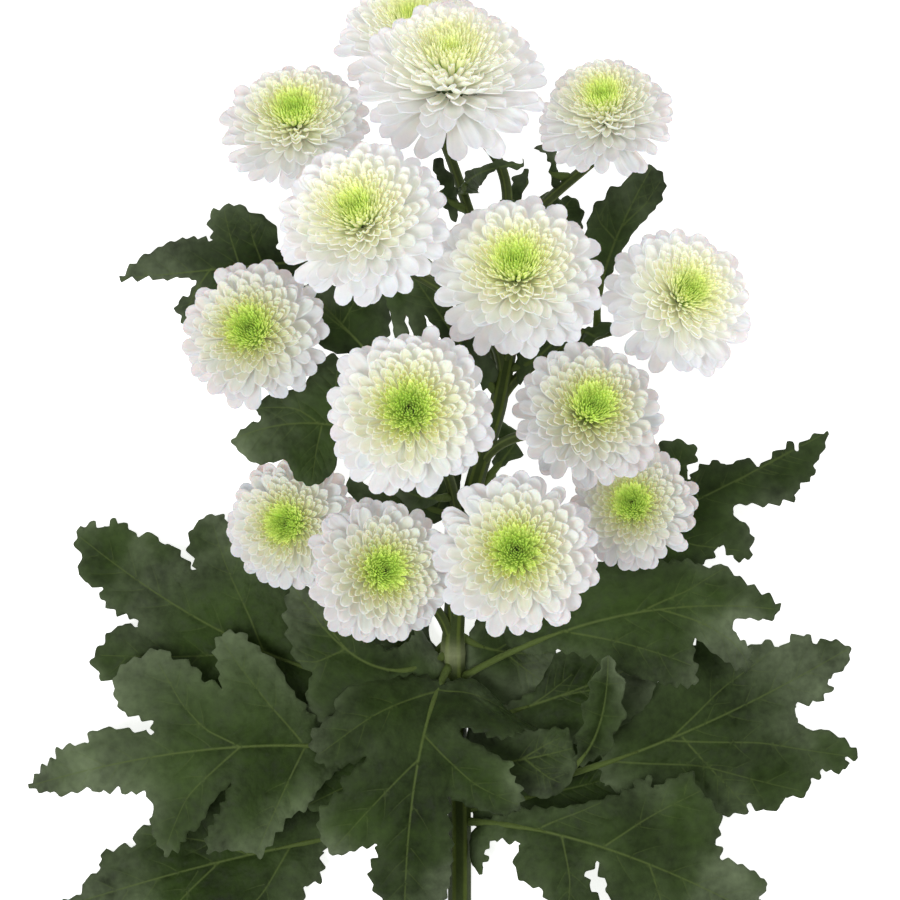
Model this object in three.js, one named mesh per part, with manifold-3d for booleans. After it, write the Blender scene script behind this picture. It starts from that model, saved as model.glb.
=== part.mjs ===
// Poppy chrysanthemum: one cut spray of white double blooms with green hearts on a leafy stem.
// It lies on a table, cut end towards -Y and blooms towards +Y, and is seen from above.
// Millimetres, +Z up. The origin is on the flat underside of the stem.

import * as THREE from 'three';
import Module from 'manifold-3d';

const wasm = await Module();
wasm.setup();
const { Manifold, Mesh } = wasm;

// Clear space and thickness

const GAP = 0.3; // left between neighbouring pieces
const BLADE_THICK = 0.7; // leaf blade
const RIB_THICK = 1.5; // leaf stalk and the foot of its midrib
const STALK_HALF = 1.1; // half the width of a leaf stalk
const FOLD = 0.12; // rise of a blade from its midrib, over its width
const SPINE_STEPS = 120; // places tried along a midrib when a lobe is set out from it
const FOOT_GAP = 0.5; // between a leaf's foot and the round of the stem
const FOOT_STEP = 0.05; // a leaf's foot backs off the stem by this until it is clear
const FOOT_REACH = 30; // length of stem looked at on each side of a foot
const TURN = Math.PI * 2;

// Colours

const PETAL_COLOUR = 0xf2f1e8;
const EYE_COLOUR = 0xa9cf3c;
const LEAF_COLOUR = 0x2f4a26;
const STEM_COLOUR = 0x5f7c38;

// Main stem, from the cut end to the foot of the top bloom's stalk

const STEM_R = 3.2;
const STEM_SIDES = 8;
const STEM_LIE = STEM_R * Math.cos(Math.PI / STEM_SIDES); // axis height that lays one side flat
const LEVEL_STATIONS = 3; // first stations, square to Y so the underside stays level
const STEM_PATH = [
  [0.5, -70, STEM_LIE, STEM_R],
  [0, -25, STEM_LIE, STEM_R],
  [0, 25, STEM_LIE, STEM_R],
  [-1.2, 62, 6.8, 3.1],
  [-1.5, 68, 8, 3.5],
  [-1.3, 74, 9, 3],
  [0, 95, 12, 2.8],
  [4.9, 117.5, 17, 2.6],
  [11.1, 137.3, 22, 2.45],
  [14.4, 154.3, 26, 2.3],
  [14.4, 176.8, 29, 2.15],
  [13.8, 196.3, 33, 2],
];

// Blooms: centre, radius, heading and tilt in degrees, height over radius, stalk's start on the stem

const BLOOMS = [
  {
    at: [-13.1, 243.8, 12], r: 21, heading: 95, tilt: 35, high: 0.62, start: 152,
    lead: [7, 192, 20], neck: 0.08,
  },
  {
    at: [-2, 227.8, 50], r: 26.2, heading: 90, tilt: 38, high: 0.72, start: 194,
    lead: [15, 214, 38],
  },
  { at: [-45.5, 217.1, 34], r: 20.8, heading: 95, tilt: 33, high: 0.52, start: 137 },
  { at: [41.7, 219.3, 30], r: 19.2, heading: 100, tilt: 35, high: 0.72, start: 176.8 },
  { at: [-25.7, 187.1, 82], r: 24, heading: 112, tilt: 26, high: 0.65, start: 142 },
  { at: [16.2, 172.9, 64], r: 24, heading: 95, tilt: 25, high: 0.65, start: 147 },
  { at: [62.1, 167.9, 42], r: 21.5, heading: 48, tilt: 22, high: 0.62, start: 137.3 },
  { at: [-56.6, 158.1, 46], r: 20.7, heading: 130, tilt: 14, high: 0.6, start: 117.5 },
  { at: [-13.1, 136, 90], r: 22.8, heading: 95, tilt: 7, high: 0.65, start: 95 },
  { at: [35.5, 135.1, 66], r: 20.9, heading: 65, tilt: 20, high: 0.65, start: 118 },
  { at: [-46.4, 105.3, 36], r: 18.7, heading: 170, tilt: 12, high: 0.62, start: 80 },
  { at: [-21.8, 92.7, 66], r: 20.1, heading: 20, tilt: 11, high: 0.65, start: 67 },
  { at: [15.7, 97.7, 84], r: 22.3, heading: 95, tilt: 7, high: 0.65, start: 72 },
  { at: [48.9, 109.8, 44], r: 17.9, heading: 110, tilt: 12, high: 0.6, start: 90 },
];

// Petal tiers from the rim inwards, as shares of the bloom's radius and height

const FLOOR = { r: 0.42, z: -0.16, count: 9 };
const TIERS = [
  { count: 15, tip: [1, 0], root: [0.66, 0.12] },
  { count: 14, tip: [0.93, 0.31], root: [0.58, 0.34] },
  { count: 13, tip: [0.8, 0.55], root: [0.46, 0.51] },
  { count: 11, tip: [0.63, 0.75], root: [0.32, 0.65] },
  { count: 9, tip: [0.45, 0.88], root: [0.26, 0.77] },
];
const VALLEY = 0.42; // how far a gap between petals reaches out from the root
const SHOULDER = 0.3; // angle of a petal's shoulders, as a share of its pitch
const WELL = 0.755; // height of the hollow that holds the eye
const EYE_RINGS = [
  { count: 7, tip: [0.29, 0.86], root: [0.19, 0.91] },
  { count: 5, tip: [0.17, 0.99], root: [0.08, 0.93] },
];
const EYE_DIMPLE = 0.86;

// Cup under each bloom and the stalk below it

const CUP_R = 0.35;
const CUP_DEEP = 5.6;
const CUP_SIDES = 7;
const STALK_R = 1.6;
const STALK_SIDES = 5;
const STALK_STEPS = 5;
const STALK_PULL = 0.38; // length of the stalk's first direction over its span
const NECK_PULL = 0.24; // length of its last direction, under the bloom

// Plan grid that the leaf outlines are read in: steps across and down, seen from high above

const GRID = { middle: 450, step: 0.28, level: 40, high: 1640, centre: [-2.24, 126] };

// Leaves: foot is a distance along the stem's Y, or a bloom number and a share of its stalk.
// via is where the midrib passes half way and tip its end, each across, down and millimetres up.
// half is the end lobe's half width left and right, over the blade's length.
// Lobes left and right of the midrib: start along the blade, tip, then the notch after it.

const TOOTH = 1.3; // how far a tooth stands out of the leaf's edge
const LOBE_HALF = 0.11; // half width of a side lobe over the blade's length
const RIB_POINTS = 6; // places along the midrib, foot included
const RIB_BEND = 0.001; // bend of the midrib while the blade beside it is split, so each place is used
const MEND = 0.02; // nearer places on a leaf's outline are taken as one
const BOW_STEP = 0.1; // lobes beside a notch are bowed less by this until their edges are clear
const LEAVES = [
  {
    name: 'leaf_left_upper', foot: 57.4, via: [262, 651, 12], tip: [74, 532, 0],
    stalk: 0.32, half: [0.13, 0.14], teeth: 2, wave: 0.8,
    left: [[0.02, 266, 716, 236, 690], [0.22, 89, 660, 143, 627]],
    right: [[0.02, 292, 600, 272, 606], [0.19, 214, 513, 198, 570]],
  },
  {
    name: 'leaf_left_middle', foot: 36.1, via: [240, 747, 20], tip: [27, 787, 0],
    stalk: 0.29, half: [0.05, 0.09], teeth: 2, wave: 0.8,
    left: [[0.05, 258, 858, 234, 778], [0.26, 163, 856, 153, 802]],
    right: [[0.03, 222, 632, 222, 694], [0.28, 152, 652, 155, 733]],
  },
  {
    name: 'leaf_left_lower', foot: 20.1, via: [245, 856, 6], tip: [40, 915, 0],
    stalk: 0.33, half: [0.11, 0.12], teeth: 2, wave: 0.5,
    left: [[0.02, 300, 930, 262, 905], [0.3, 150, 962, 112, 940]],
    right: [[0.06, 250, 792, 218, 826], [0.25, 136, 831, 122, 851]],
  },
  {
    name: 'leaf_front', foot: 66.6, via: [415, 780, 27], tip: [404, 950, 10],
    stalk: 0.14, half: [0.12, 0.12], teeth: 2, wave: 0.8,
    left: [[0.02, 549, 715, 461, 727], [0.17, 523, 803, 449, 796]],
    right: [[0.02, 313, 748, 375, 750], [0.27, 322, 842, 378, 846]],
  },
  {
    name: 'leaf_right_top', foot: 83.2, via: [640, 527, 18], tip: [829, 431, 6],
    stalk: 0.3, half: [0.045, 0.075], teeth: 2, wave: 0.8,
    left: [[0.02, 606, 508, 628, 512], [0.24, 697, 448, 689, 484]],
    right: [[0.03, 632, 602, 655, 582], [0.2, 704, 561, 721, 547], [0.42, 753, 556, 733, 514]],
  },
  {
    name: 'leaf_right_upper', foot: 59.5, via: [620, 616, 26], tip: [781, 610, 14],
    stalk: 0.25, half: [0.07, 0.085], teeth: 2, wave: 0.8,
    left: [[0.08, 612, 578, 642, 588], [0.35, 722, 562, 735, 577]],
    right: [[0.12, 695, 684, 690, 646], [0.5, 754, 673, 733, 626]],
  },
  {
    name: 'leaf_right_middle', foot: 25.8, via: [655, 745, 8], tip: [851, 647, 0],
    stalk: 0.34, half: [0.12, 0.11], teeth: 2, wave: 0.5,
    left: [[0.04, 640, 704, 662, 706], [0.25, 770, 640, 779, 651]],
    right: [[0.04, 808, 793, 813, 777], [0.2, 863, 758, 794, 712]],
  },
  {
    name: 'leaf_right_lower', foot: 19.5, via: [610, 850, 16], tip: [775, 925, 0],
    stalk: 0.14, half: [0.085, 0.11], teeth: 2, wave: 0.8,
    left: [[0.1, 600, 798, 612, 818], [0.33, 708, 778, 713, 838]],
    right: [[0.08, 558, 925, 598, 862], [0.38, 652, 940, 692, 922]],
  },
  {
    name: 'leaf_right_inner', foot: 36, via: [514, 761, 16], tip: [574, 748, 18],
    stalk: 0.2, half: [0.2, 0.22], teeth: 2, wave: 0.5,
    left: [[0.15, 560, 732, 562, 741]], right: [[0.12, 544, 792, 556, 772]],
  },
  {
    name: 'leaf_right_behind', foot: 47, via: [548, 700, 9.5], tip: [646, 662, 14],
    stalk: 0.24, half: [0.22, 0.2], teeth: 2, wave: 0.4,
    left: [[0.1, 560, 650, 585, 660]], right: [[0.2, 607, 712, 616, 690]],
  },
  {
    name: 'leaf_right_under', foot: 22.6, via: [545, 794, 2.6], tip: [622, 776, 3.4],
    stalk: 0.35, half: [0.2, 0.22], teeth: 1, wave: 0.2,
  },
  {
    name: 'leaf_left_behind', foot: 41, via: [388, 768, 7], tip: [306, 806, 8],
    stalk: 0.26, half: [0.18, 0.16], teeth: 1, wave: 0.3,
    right: [[0.2, 322, 706, 322, 762]],
  },
  {
    name: 'leaf_right_folded', foot: 32.5, via: [574, 767, 17], tip: [608, 655, 34],
    stalk: 0.48, half: [0.15, 0.15], teeth: 2, wave: 0.3, fold: 0.8,
  },
  {
    name: 'leaf_left_inner', foot: 68.9, via: [365, 662, 19.8], tip: [291, 582, 13],
    stalk: 0.2, half: [0.17, 0.17], teeth: 1, wave: 0.5,
    left: [[0.2, 318, 684, 308, 662]], right: [[0.25, 352, 602, 330, 612]],
  },
  {
    name: 'leaf_top_left', foot: [3, 0.5], via: [262, 265, 22], tip: [120, 279, 8],
    stalk: 0.32, half: [0.02, 0.1], teeth: 1, wave: 0.6,
    left: [[0.33, 186, 322, 197, 281]], right: [[0.2, 237, 203, 215, 241]],
  },
  {
    name: 'leaf_upper_left_inner', foot: [8, 0.45], via: [362, 346, 32], tip: [304, 285, 36],
    stalk: 0.25, half: [0.26, 0.26], teeth: 2, wave: 0.3,
  },
  {
    name: 'leaf_middle_left', foot: [9, 0.4], via: [325, 424, 46], tip: [230, 441, 46],
    stalk: 0.3, half: [0.13, 0.04], teeth: 1, wave: 0.3, roll: 7,
    left: [[0.12, 311, 486, 289, 461]], right: [[0.05, 337, 354, 300, 398], [0.35, 249, 408, 263, 416]],
  },
  {
    name: 'leaf_top_right', foot: [7, 0.55], via: [609, 258, 28], tip: [653, 165, 24],
    stalk: 0.22, half: [0.17, 0.17], teeth: 2, wave: 0.4,
  },
  {
    name: 'leaf_top_behind', foot: [4, 0.3], via: [548, 222, 22], tip: [574, 196, 16],
    stalk: 0.2, half: [0.25, 0.25], teeth: 1, wave: 0.3,
  },
  {
    name: 'leaf_right_bract', foot: [7, 0.45], via: [588, 333, 33], tip: [613, 352, 36],
    stalk: 0.2, half: [0.24, 0.24], teeth: 1, wave: 0.2,
  },
  {
    name: 'leaf_stem_bract', foot: 113, via: [501, 462, 15], tip: [522, 434, 13],
    stalk: 0.3, half: [0.26, 0.26], teeth: 1, wave: 0.2,
  },
  {
    name: 'leaf_joint_left', foot: 73, via: [416, 651, 5], tip: [372, 630, 6],
    stalk: 0.12, half: [0.36, 0.34], teeth: 2, wave: 0.3,
  },
  {
    name: 'leaf_joint_right', foot: 74, via: [505, 652, 4], tip: [556, 652, 3.4],
    stalk: 0.12, half: [0.4, 0.4], teeth: 2, wave: 0.3,
  },
  {
    name: 'leaf_centre_left', foot: 107, via: [412, 502, 19], tip: [352, 474, 25],
    stalk: 0.2, half: [0.2, 0.22], teeth: 2, wave: 0.3,
  },
  {
    name: 'leaf_centre_upper', foot: 141, via: [455, 336, 34], tip: [408, 268, 40],
    stalk: 0.28, half: [0.15, 0.15], teeth: 1, wave: 0.3,
  },
  {
    name: 'leaf_centre_right', foot: 149, via: [548, 348, 31], tip: [590, 296, 34],
    stalk: 0.15, half: [0.13, 0.13], teeth: 1, wave: 0.3,
  },
  {
    name: 'leaf_centre_lower', foot: [9, 0.24], via: [418, 496, 33], tip: [395, 482, 34],
    stalk: 0.2, half: [0.24, 0.24], teeth: 1, wave: 0.2,
  },
  {
    name: 'leaf_bract_left', foot: [1, 0.36], via: [437, 185, 23], tip: [436, 148, 24],
    stalk: 0.15, half: [0.22, 0.22], teeth: 1, wave: 0.2,
  },
  {
    name: 'leaf_bract_front', foot: [1, 0.4], via: [478, 174, 40], tip: [524, 163, 48],
    stalk: 0.15, half: [0.07, 0.07], teeth: 1, wave: 0.2,
  },
  {
    name: 'leaf_bract_stem', foot: 190, via: [524, 205, 29], tip: [528, 168, 26],
    stalk: 0.15, half: [0.2, 0.2], teeth: 1, wave: 0.2,
  },
  {
    name: 'leaf_bract_right', foot: [4, 0.6], via: [545, 168, 26], tip: [533, 146, 24],
    stalk: 0.15, half: [0.2, 0.2], teeth: 1, wave: 0.2,
  },
];

// Small helpers

const vec = (a) => new THREE.Vector3(a[0], a[1], a[2]);
const rad = (degrees) => (degrees * Math.PI) / 180;
const mix = (a, b, t) => a + (b - a) * t;
const UP = new THREE.Vector3(0, 0, 1);

function noise(a, b) {
  const s = Math.sin(a * 127.1 + b * 311.7) * 43758.5453;
  return s - Math.floor(s) - 0.5;
}

function geometry(points, faces) {
  const shape = new THREE.BufferGeometry();
  shape.setAttribute('position', new THREE.Float32BufferAttribute(points.flatMap((p) => p.toArray()), 3));
  shape.setIndex(faces.flat());
  return shape;
}

function toSolid(shape) {
  const mesh = new Mesh({
    numProp: 3,
    vertProperties: new Float32Array(shape.attributes.position.array),
    triVerts: new Uint32Array(shape.index.array),
  });
  return new Manifold(mesh);
}

function fromSolid(solid) {
  const mesh = solid.getMesh();
  const shape = new THREE.BufferGeometry();
  shape.setAttribute('position', new THREE.BufferAttribute(new Float32Array(mesh.vertProperties), 3));
  shape.setIndex(Array.from(mesh.triVerts));
  return shape;
}

// Closed tube through stations, its sides kept turned the same way up

function tube(centres, radii, sides, tangents) {
  const points = [];
  const faces = [];
  centres.forEach((centre, i) => {
    const along = tangents[i];
    const side = new THREE.Vector3().crossVectors(UP, along).normalize();
    const over = new THREE.Vector3().crossVectors(along, side);
    for (let k = 0; k < sides; k += 1) {
      const angle = ((k + 0.5) / sides) * TURN;
      const point = centre.clone();
      point.addScaledVector(side, radii[i] * Math.cos(angle));
      point.addScaledVector(over, radii[i] * Math.sin(angle));
      points.push(point);
    }
  });
  const last = (centres.length - 1) * sides;
  for (let i = 0; i < last; i += sides) {
    for (let k = 0; k < sides; k += 1) {
      const next = (k + 1) % sides;
      faces.push([i + k, i + next, i + sides + next]);
      faces.push([i + k, i + sides + next, i + sides + k]);
    }
  }
  for (let k = 1; k < sides - 1; k += 1) {
    faces.push([0, k + 1, k]);
    faces.push([last, last + k, last + k + 1]);
  }
  return geometry(points, faces);
}

// Place on the main stem at a given Y

const STEM_CENTRES = STEM_PATH.map((s) => vec(s));

function stemAt(y) {
  let i = 0;
  while (i < STEM_PATH.length - 2 && STEM_PATH[i + 1][1] < y) {
    i += 1;
  }
  const t = (y - STEM_PATH[i][1]) / (STEM_PATH[i + 1][1] - STEM_PATH[i][1]);
  return {
    point: STEM_CENTRES[i].clone().lerp(STEM_CENTRES[i + 1], t),
    along: STEM_CENTRES[i + 1].clone().sub(STEM_CENTRES[i]).normalize(),
    r: mix(STEM_PATH[i][3], STEM_PATH[i + 1][3], t),
  };
}

function mainStem() {
  const tangents = STEM_CENTRES.map((centre, i) => {
    if (i < LEVEL_STATIONS) {
      return new THREE.Vector3(0, 1, 0);
    }
    const before = STEM_CENTRES[i - 1];
    const after = STEM_CENTRES[Math.min(i + 1, STEM_CENTRES.length - 1)];
    return after.clone().sub(before).normalize();
  });
  return tube(STEM_CENTRES, STEM_PATH.map((s) => s[3]), STEM_SIDES, tangents);
}

// Each bloom's own axis and the stalk that carries it

function bloomAxis(bloom) {
  const tilt = rad(bloom.tilt);
  const heading = rad(bloom.heading);
  return new THREE.Vector3(
    Math.sin(tilt) * Math.cos(heading),
    Math.sin(tilt) * Math.sin(heading),
    Math.cos(tilt),
  );
}

function cupTop(bloom) {
  return FLOOR.z * bloom.r - GAP;
}

function stalkCurve(bloom) {
  const axis = bloomAxis(bloom);
  const start = stemAt(bloom.start);
  const end = vec(bloom.at).addScaledVector(axis, cupTop(bloom) - CUP_DEEP);
  const span = start.point.distanceTo(end);
  return new THREE.CubicBezierCurve3(
    start.point,
    bloom.lead ? vec(bloom.lead) : start.point.clone().addScaledVector(start.along, span * STALK_PULL),
    end.clone().addScaledVector(axis, -span * (bloom.neck || NECK_PULL)),
    end,
  );
}

function stalk(bloom) {
  const curve = stalkCurve(bloom);
  const centres = [];
  const radii = [];
  const tangents = [];
  for (let i = 0; i <= STALK_STEPS; i += 1) {
    centres.push(curve.getPoint(i / STALK_STEPS));
    tangents.push(curve.getTangent(i / STALK_STEPS));
    radii.push(STALK_R * mix(0.95, 1.05, i / STALK_STEPS));
  }
  const axis = bloomAxis(bloom);
  const top = CUP_R * bloom.r;
  const foot = centres[STALK_STEPS].clone();
  const cupLevels = [
    [-0.8, STALK_R * 0.9],
    [1, STALK_R * 1.5],
    [0.72 * CUP_DEEP, top * 0.9],
    [CUP_DEEP, top],
  ];
  const cupCentres = cupLevels.map((level) => foot.clone().addScaledVector(axis, level[0]));
  const cup = tube(cupCentres, cupLevels.map((level) => level[1]), CUP_SIDES, cupLevels.map(() => axis));
  return Manifold.union(toSolid(tube(centres, radii, STALK_SIDES, tangents)), toSolid(cup));
}

// A folded surface of rings, closed at both ends

function zipRings(rings, bottom, top) {
  const points = [];
  const faces = [];
  const starts = [];
  rings.forEach((ring) => {
    starts.push(points.length);
    ring.forEach((p) => points.push(new THREE.Vector3(p.r * Math.cos(p.a), p.r * Math.sin(p.a), p.z)));
  });
  const bottomIndex = points.push(new THREE.Vector3(0, 0, bottom)) - 1;
  const topIndex = points.push(new THREE.Vector3(0, 0, top)) - 1;
  rings[0].forEach((p, k) => {
    faces.push([bottomIndex, (k + 1) % rings[0].length, k]);
  });
  for (let n = 0; n + 1 < rings.length; n += 1) {
    const inner = rings[n];
    const outer = rings[n + 1];
    let i = 0;
    let j = 0;
    while (i < inner.length || j < outer.length) {
      const nextInner = i < inner.length ? (inner[i + 1] || { a: inner[0].a + TURN }).a : Infinity;
      const nextOuter = j < outer.length ? (outer[j + 1] || { a: outer[0].a + TURN }).a : Infinity;
      const a = starts[n] + (i % inner.length);
      const b = starts[n + 1] + (j % outer.length);
      if (nextInner < nextOuter) {
        faces.push([a, starts[n] + ((i + 1) % inner.length), b]);
        i += 1;
      } else {
        faces.push([a, starts[n + 1] + ((j + 1) % outer.length), b]);
        j += 1;
      }
    }
  }
  const last = rings.length - 1;
  rings[last].forEach((p, k) => {
    faces.push([starts[last] + k, starts[last] + ((k + 1) % rings[last].length), topIndex]);
  });
  return { points, faces };
}

function petalRings(tiers, firstRoot, radius, height, seed) {
  const rings = [];
  let below = firstRoot;
  tiers.forEach((tier, level) => {
    const pitch = TURN / tier.count;
    const shift = noise(seed, level) * 0.5 * pitch;
    const inner = Math.max(below[0], tier.root[0]);
    const outline = [];
    const roots = [];
    for (let k = 0; k < tier.count; k += 1) {
      const angle = k * pitch + shift;
      const reach = tier.tip[0] * (1 + 0.07 * noise(seed + level, k));
      const lift = 0.05 * noise(seed - level, k + 50);
      const place = (share, turn) => {
        const r = mix(inner, reach, share);
        const under = mix(below[1], tier.tip[1], (r - below[0]) / (tier.tip[0] - below[0]));
        const over = mix(tier.root[1], tier.tip[1], (r - tier.root[0]) / (tier.tip[0] - tier.root[0]));
        const z = (under + over) / 2 + lift * share;
        return { a: angle + turn * pitch, r: r * radius, z: z * height };
      };
      outline.push(
        place(VALLEY, 0),
        place(0.86, 0.5 - SHOULDER),
        place(1, 0.5),
        place(0.86, 0.5 + SHOULDER),
      );
      roots.push({ a: angle, r: tier.root[0] * radius, z: tier.root[1] * height });
    }
    rings.push(outline, roots);
    below = tier.root;
  });
  return rings;
}

function placeBloom(shape, bloom) {
  const axis = bloomAxis(bloom);
  const turn = new THREE.Quaternion().setFromUnitVectors(UP, axis);
  shape.points.forEach((p) => {
    p.applyQuaternion(turn).add(vec(bloom.at));
    p.z = Math.max(p.z, 0);
  });
  return geometry(shape.points, shape.faces);
}

function petals(bloom, seed) {
  const height = bloom.high * bloom.r;
  const floorZ = FLOOR.z * bloom.r;
  const floor = [];
  for (let k = 0; k < FLOOR.count; k += 1) {
    floor.push({ a: (k / FLOOR.count) * TURN, r: FLOOR.r * bloom.r, z: floorZ });
  }
  const rings = petalRings(TIERS, [FLOOR.r, floorZ / height], bloom.r, height, seed);
  return placeBloom(zipRings([floor, ...rings], floorZ, WELL * height), bloom);
}

function eye(bloom, seed) {
  const height = bloom.high * bloom.r;
  const bottom = WELL * height + GAP;
  const rings = petalRings(EYE_RINGS, [0, bottom / height], bloom.r, height, seed + 40);
  return placeBloom(zipRings(rings, bottom, EYE_DIMPLE * height), bloom);
}

// Place read in the plan grid, at a height above the table

function fromGrid(across, down, height) {
  const step = (GRID.step * (GRID.high - height)) / (GRID.high - GRID.level);
  return new THREE.Vector3(
    GRID.centre[0] + (across - GRID.middle) * step,
    GRID.centre[1] + (GRID.middle - down) * step,
    height,
  );
}

// Above zero where the way from p by q to r bends left

function turn(p, q, r) {
  return (q[0] - p[0]) * (r[1] - p[1]) - (q[1] - p[1]) * (r[0] - p[0]);
}

// Whether two broken lines cross

function cross(first, second) {
  return first.slice(1).some((b, i) => second.slice(1).some((d, j) => {
    const a = first[i];
    const c = second[j];
    return turn(a, b, c) * turn(a, b, d) < 0 && turn(c, d, a) * turn(c, d, b) < 0;
  }));
}

// Broken line without the loops that it makes where it crosses itself

function untangled(line) {
  const out = [];
  line.forEach((point) => {
    for (let k = 0; k + 2 < out.length; k += 1) {
      const last = out[out.length - 1];
      const [c, d] = [out[k], out[k + 1]];
      if (cross([last, point], [c, d])) {
        const [before, after] = [c, d].map((end) => Math.abs(turn(last, point, end)));
        const share = before / (before + after);
        out.splice(k + 1, out.length, [mix(c[0], d[0], share), mix(c[1], d[1], share)]);
      }
    }
    out.push(point);
  });
  return out.filter((p, k) => !k || Math.hypot(p[0] - out[k - 1][0], p[1] - out[k - 1][1]) > MEND);
}

// Flat triangles with the edge between two of them swapped wherever that makes them less narrow

function widened(faces, plan) {
  const corner = (a, b, c) => {
    const [u, v] = [b, c].map((k) => new THREE.Vector2(plan[k][0] - plan[a][0], plan[k][1] - plan[a][1]));
    return u.angleTo(v);
  };
  const out = faces.map((f) => [...f]);
  const swapOne = () => {
    const beyond = new Map();
    out.forEach((f, n) => f.forEach((a, k) => beyond.set(`${a} ${f[(k + 1) % 3]}`, [n, f[(k + 2) % 3]])));
    return out.some((f, n) => f.some((a, k) => {
      const b = f[(k + 1) % 3];
      const c = f[(k + 2) % 3];
      const [m, d] = beyond.get(`${b} ${a}`) || [];
      if (m === undefined || corner(c, a, b) + corner(d, a, b) < Math.PI + 0.001) {
        return false;
      }
      if (turn(plan[a], plan[d], plan[c]) <= 0 || turn(plan[d], plan[b], plan[c]) <= 0) {
        return false;
      }
      out[n] = [a, d, c];
      out[m] = [d, b, c];
      return true;
    }));
  };
  let more = true;
  while (more) {
    more = swapOne();
  }
  return out;
}

// Leaf blade drawn flat: midrib along u, width along v

function leafPlan(leaf, blade, stalkLength, onPlan) {
  const plan = [];
  const faces = [];
  const edges = {};
  const add = (u, v) => plan.push([u, v]) - 1;
  const sides = { 1: leaf.left || [], '-1': leaf.right || [] };
  const starts = [...sides[1], ...sides[-1]].map((lobe) => lobe[0]);
  const core = Math.max(0.06, ...starts.map((start) => start + 0.08));
  const rib = [];
  for (let k = 0; k < RIB_POINTS; k += 1) {
    rib.push(add((k / RIB_POINTS) * blade, 0));
  }
  const tip = add(blade, 0);

  [1, -1].forEach((side) => {
    const middles = [];
    const chain = sides[side].map((lobe) => {
      const origin = [lobe[0] * blade, 0];
      const end = onPlan(lobe[1], lobe[2]);
      const reach = Math.hypot(end[0] - origin[0], end[1]);
      middles.push(add((origin[0] + end[0]) / 2, end[1] / 2));
      return {
        origin, reach, end, half: LOBE_HALF * blade, notch: onPlan(lobe[3], lobe[4]),
        direction: [(end[0] - origin[0]) / reach, end[1] / reach],
      };
    });
    chain.push({
      origin: [core * blade, 0], direction: [1, 0], reach: (1 - core) * blade,
      half: leaf.half[side > 0 ? 0 : 1] * blade, end: [blade, 0],
    });

    const edge = (lobe, start, away, bow) => {
      const points = [];
      const control = [0, 1].map((k) => {
        const normal = (k ? lobe.direction[0] : -lobe.direction[1]) * away;
        const full = lobe.origin[k] + lobe.direction[k] * lobe.reach * 0.66 + normal * lobe.half * 1.7;
        return mix((start[k] + lobe.end[k]) / 2, full, bow);
      });
      for (let n = 1; n <= leaf.teeth; n += 1) {
        [[n / (leaf.teeth + 1), 1], [(n + 0.35) / (leaf.teeth + 1), -0.4]].forEach(([t, out]) => {
          const point = [0, 1].map((k) => (
            start[k] * (1 - t) ** 2 + control[k] * 2 * t * (1 - t) + lobe.end[k] * t * t
          ));
          const slope = [0, 1].map((k) => (
            (control[k] - start[k]) * (1 - t) + (lobe.end[k] - control[k]) * t
          ));
          const shift = (out * away * Math.min(TOOTH, 0.04 * blade)) / Math.hypot(slope[0], slope[1]);
          const across = side * Math.max(STALK_HALF, side * (point[1] + slope[0] * shift));
          points.push([point[0] - slope[1] * shift, across]);
        });
      }
      return points;
    };

    const corner = [0, side * STALK_HALF];
    const line = [corner];
    let bow = 1;
    chain.forEach((lobe, n) => {
      line.push(...edge(lobe, n ? chain[n - 1].notch : corner, side, bow), lobe.end);
      if (lobe.notch) {
        const next = chain[n + 1];
        bow = 1;
        while (bow > 0 && cross(
          [lobe.notch, ...edge(lobe, lobe.notch, -side, bow), lobe.end],
          [lobe.notch, ...edge(next, lobe.notch, side, bow), next.end],
        )) {
          bow -= BOW_STEP;
        }
        line.push(...edge(lobe, lobe.notch, -side, bow).reverse(), lobe.notch);
      }
    });
    const rim = untangled(line).slice(0, -1).map((p) => add(...p));
    rim.push(tip);
    edges[side] = rim;

    const contour = [...rib, ...[...rim].reverse()];
    const flat = (index) => new THREE.Vector2(plan[index][0], plan[index][1]);
    const all = [...contour, ...middles];
    const inner = middles.map((index) => [flat(index)]);
    const bent = contour.map((index, k) => {
      const point = flat(index);
      point.y += k < RIB_POINTS ? side * RIB_BEND * k * (RIB_POINTS - k) : 0;
      return point;
    });
    const half = THREE.ShapeUtils.triangulateShape(bent, inner).map((f) => {
      const [a, b, c] = f.map((k) => all[k]);
      return turn(plan[a], plan[b], plan[c]) > 0 ? [a, b, c] : [a, c, b];
    });
    faces.push(...widened(half, plan));
  });

  const stations = [-stalkLength, -stalkLength * 0.66, -stalkLength * 0.33].map((u) => ({
    left: add(u, STALK_HALF), mid: add(u, 0), right: add(u, -STALK_HALF),
  }));
  stations.push({ left: edges[1][0], mid: rib[0], right: edges[-1][0] });
  for (let k = 0; k < 3; k += 1) {
    const a = stations[k];
    const b = stations[k + 1];
    faces.push([a.mid, b.mid, b.left], [a.mid, b.left, a.left]);
    faces.push([a.mid, b.right, b.mid], [a.mid, a.right, b.right]);
  }
  const start = stations[0];
  const loop = [
    start.mid, start.right, stations[1].right, stations[2].right,
    ...edges[-1], ...edges[1].slice(0, -1).reverse(),
    stations[2].left, stations[1].left, start.left,
  ];
  return { plan, faces, loop };
}

// Midrib curve from beside the stem to the tip

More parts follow.
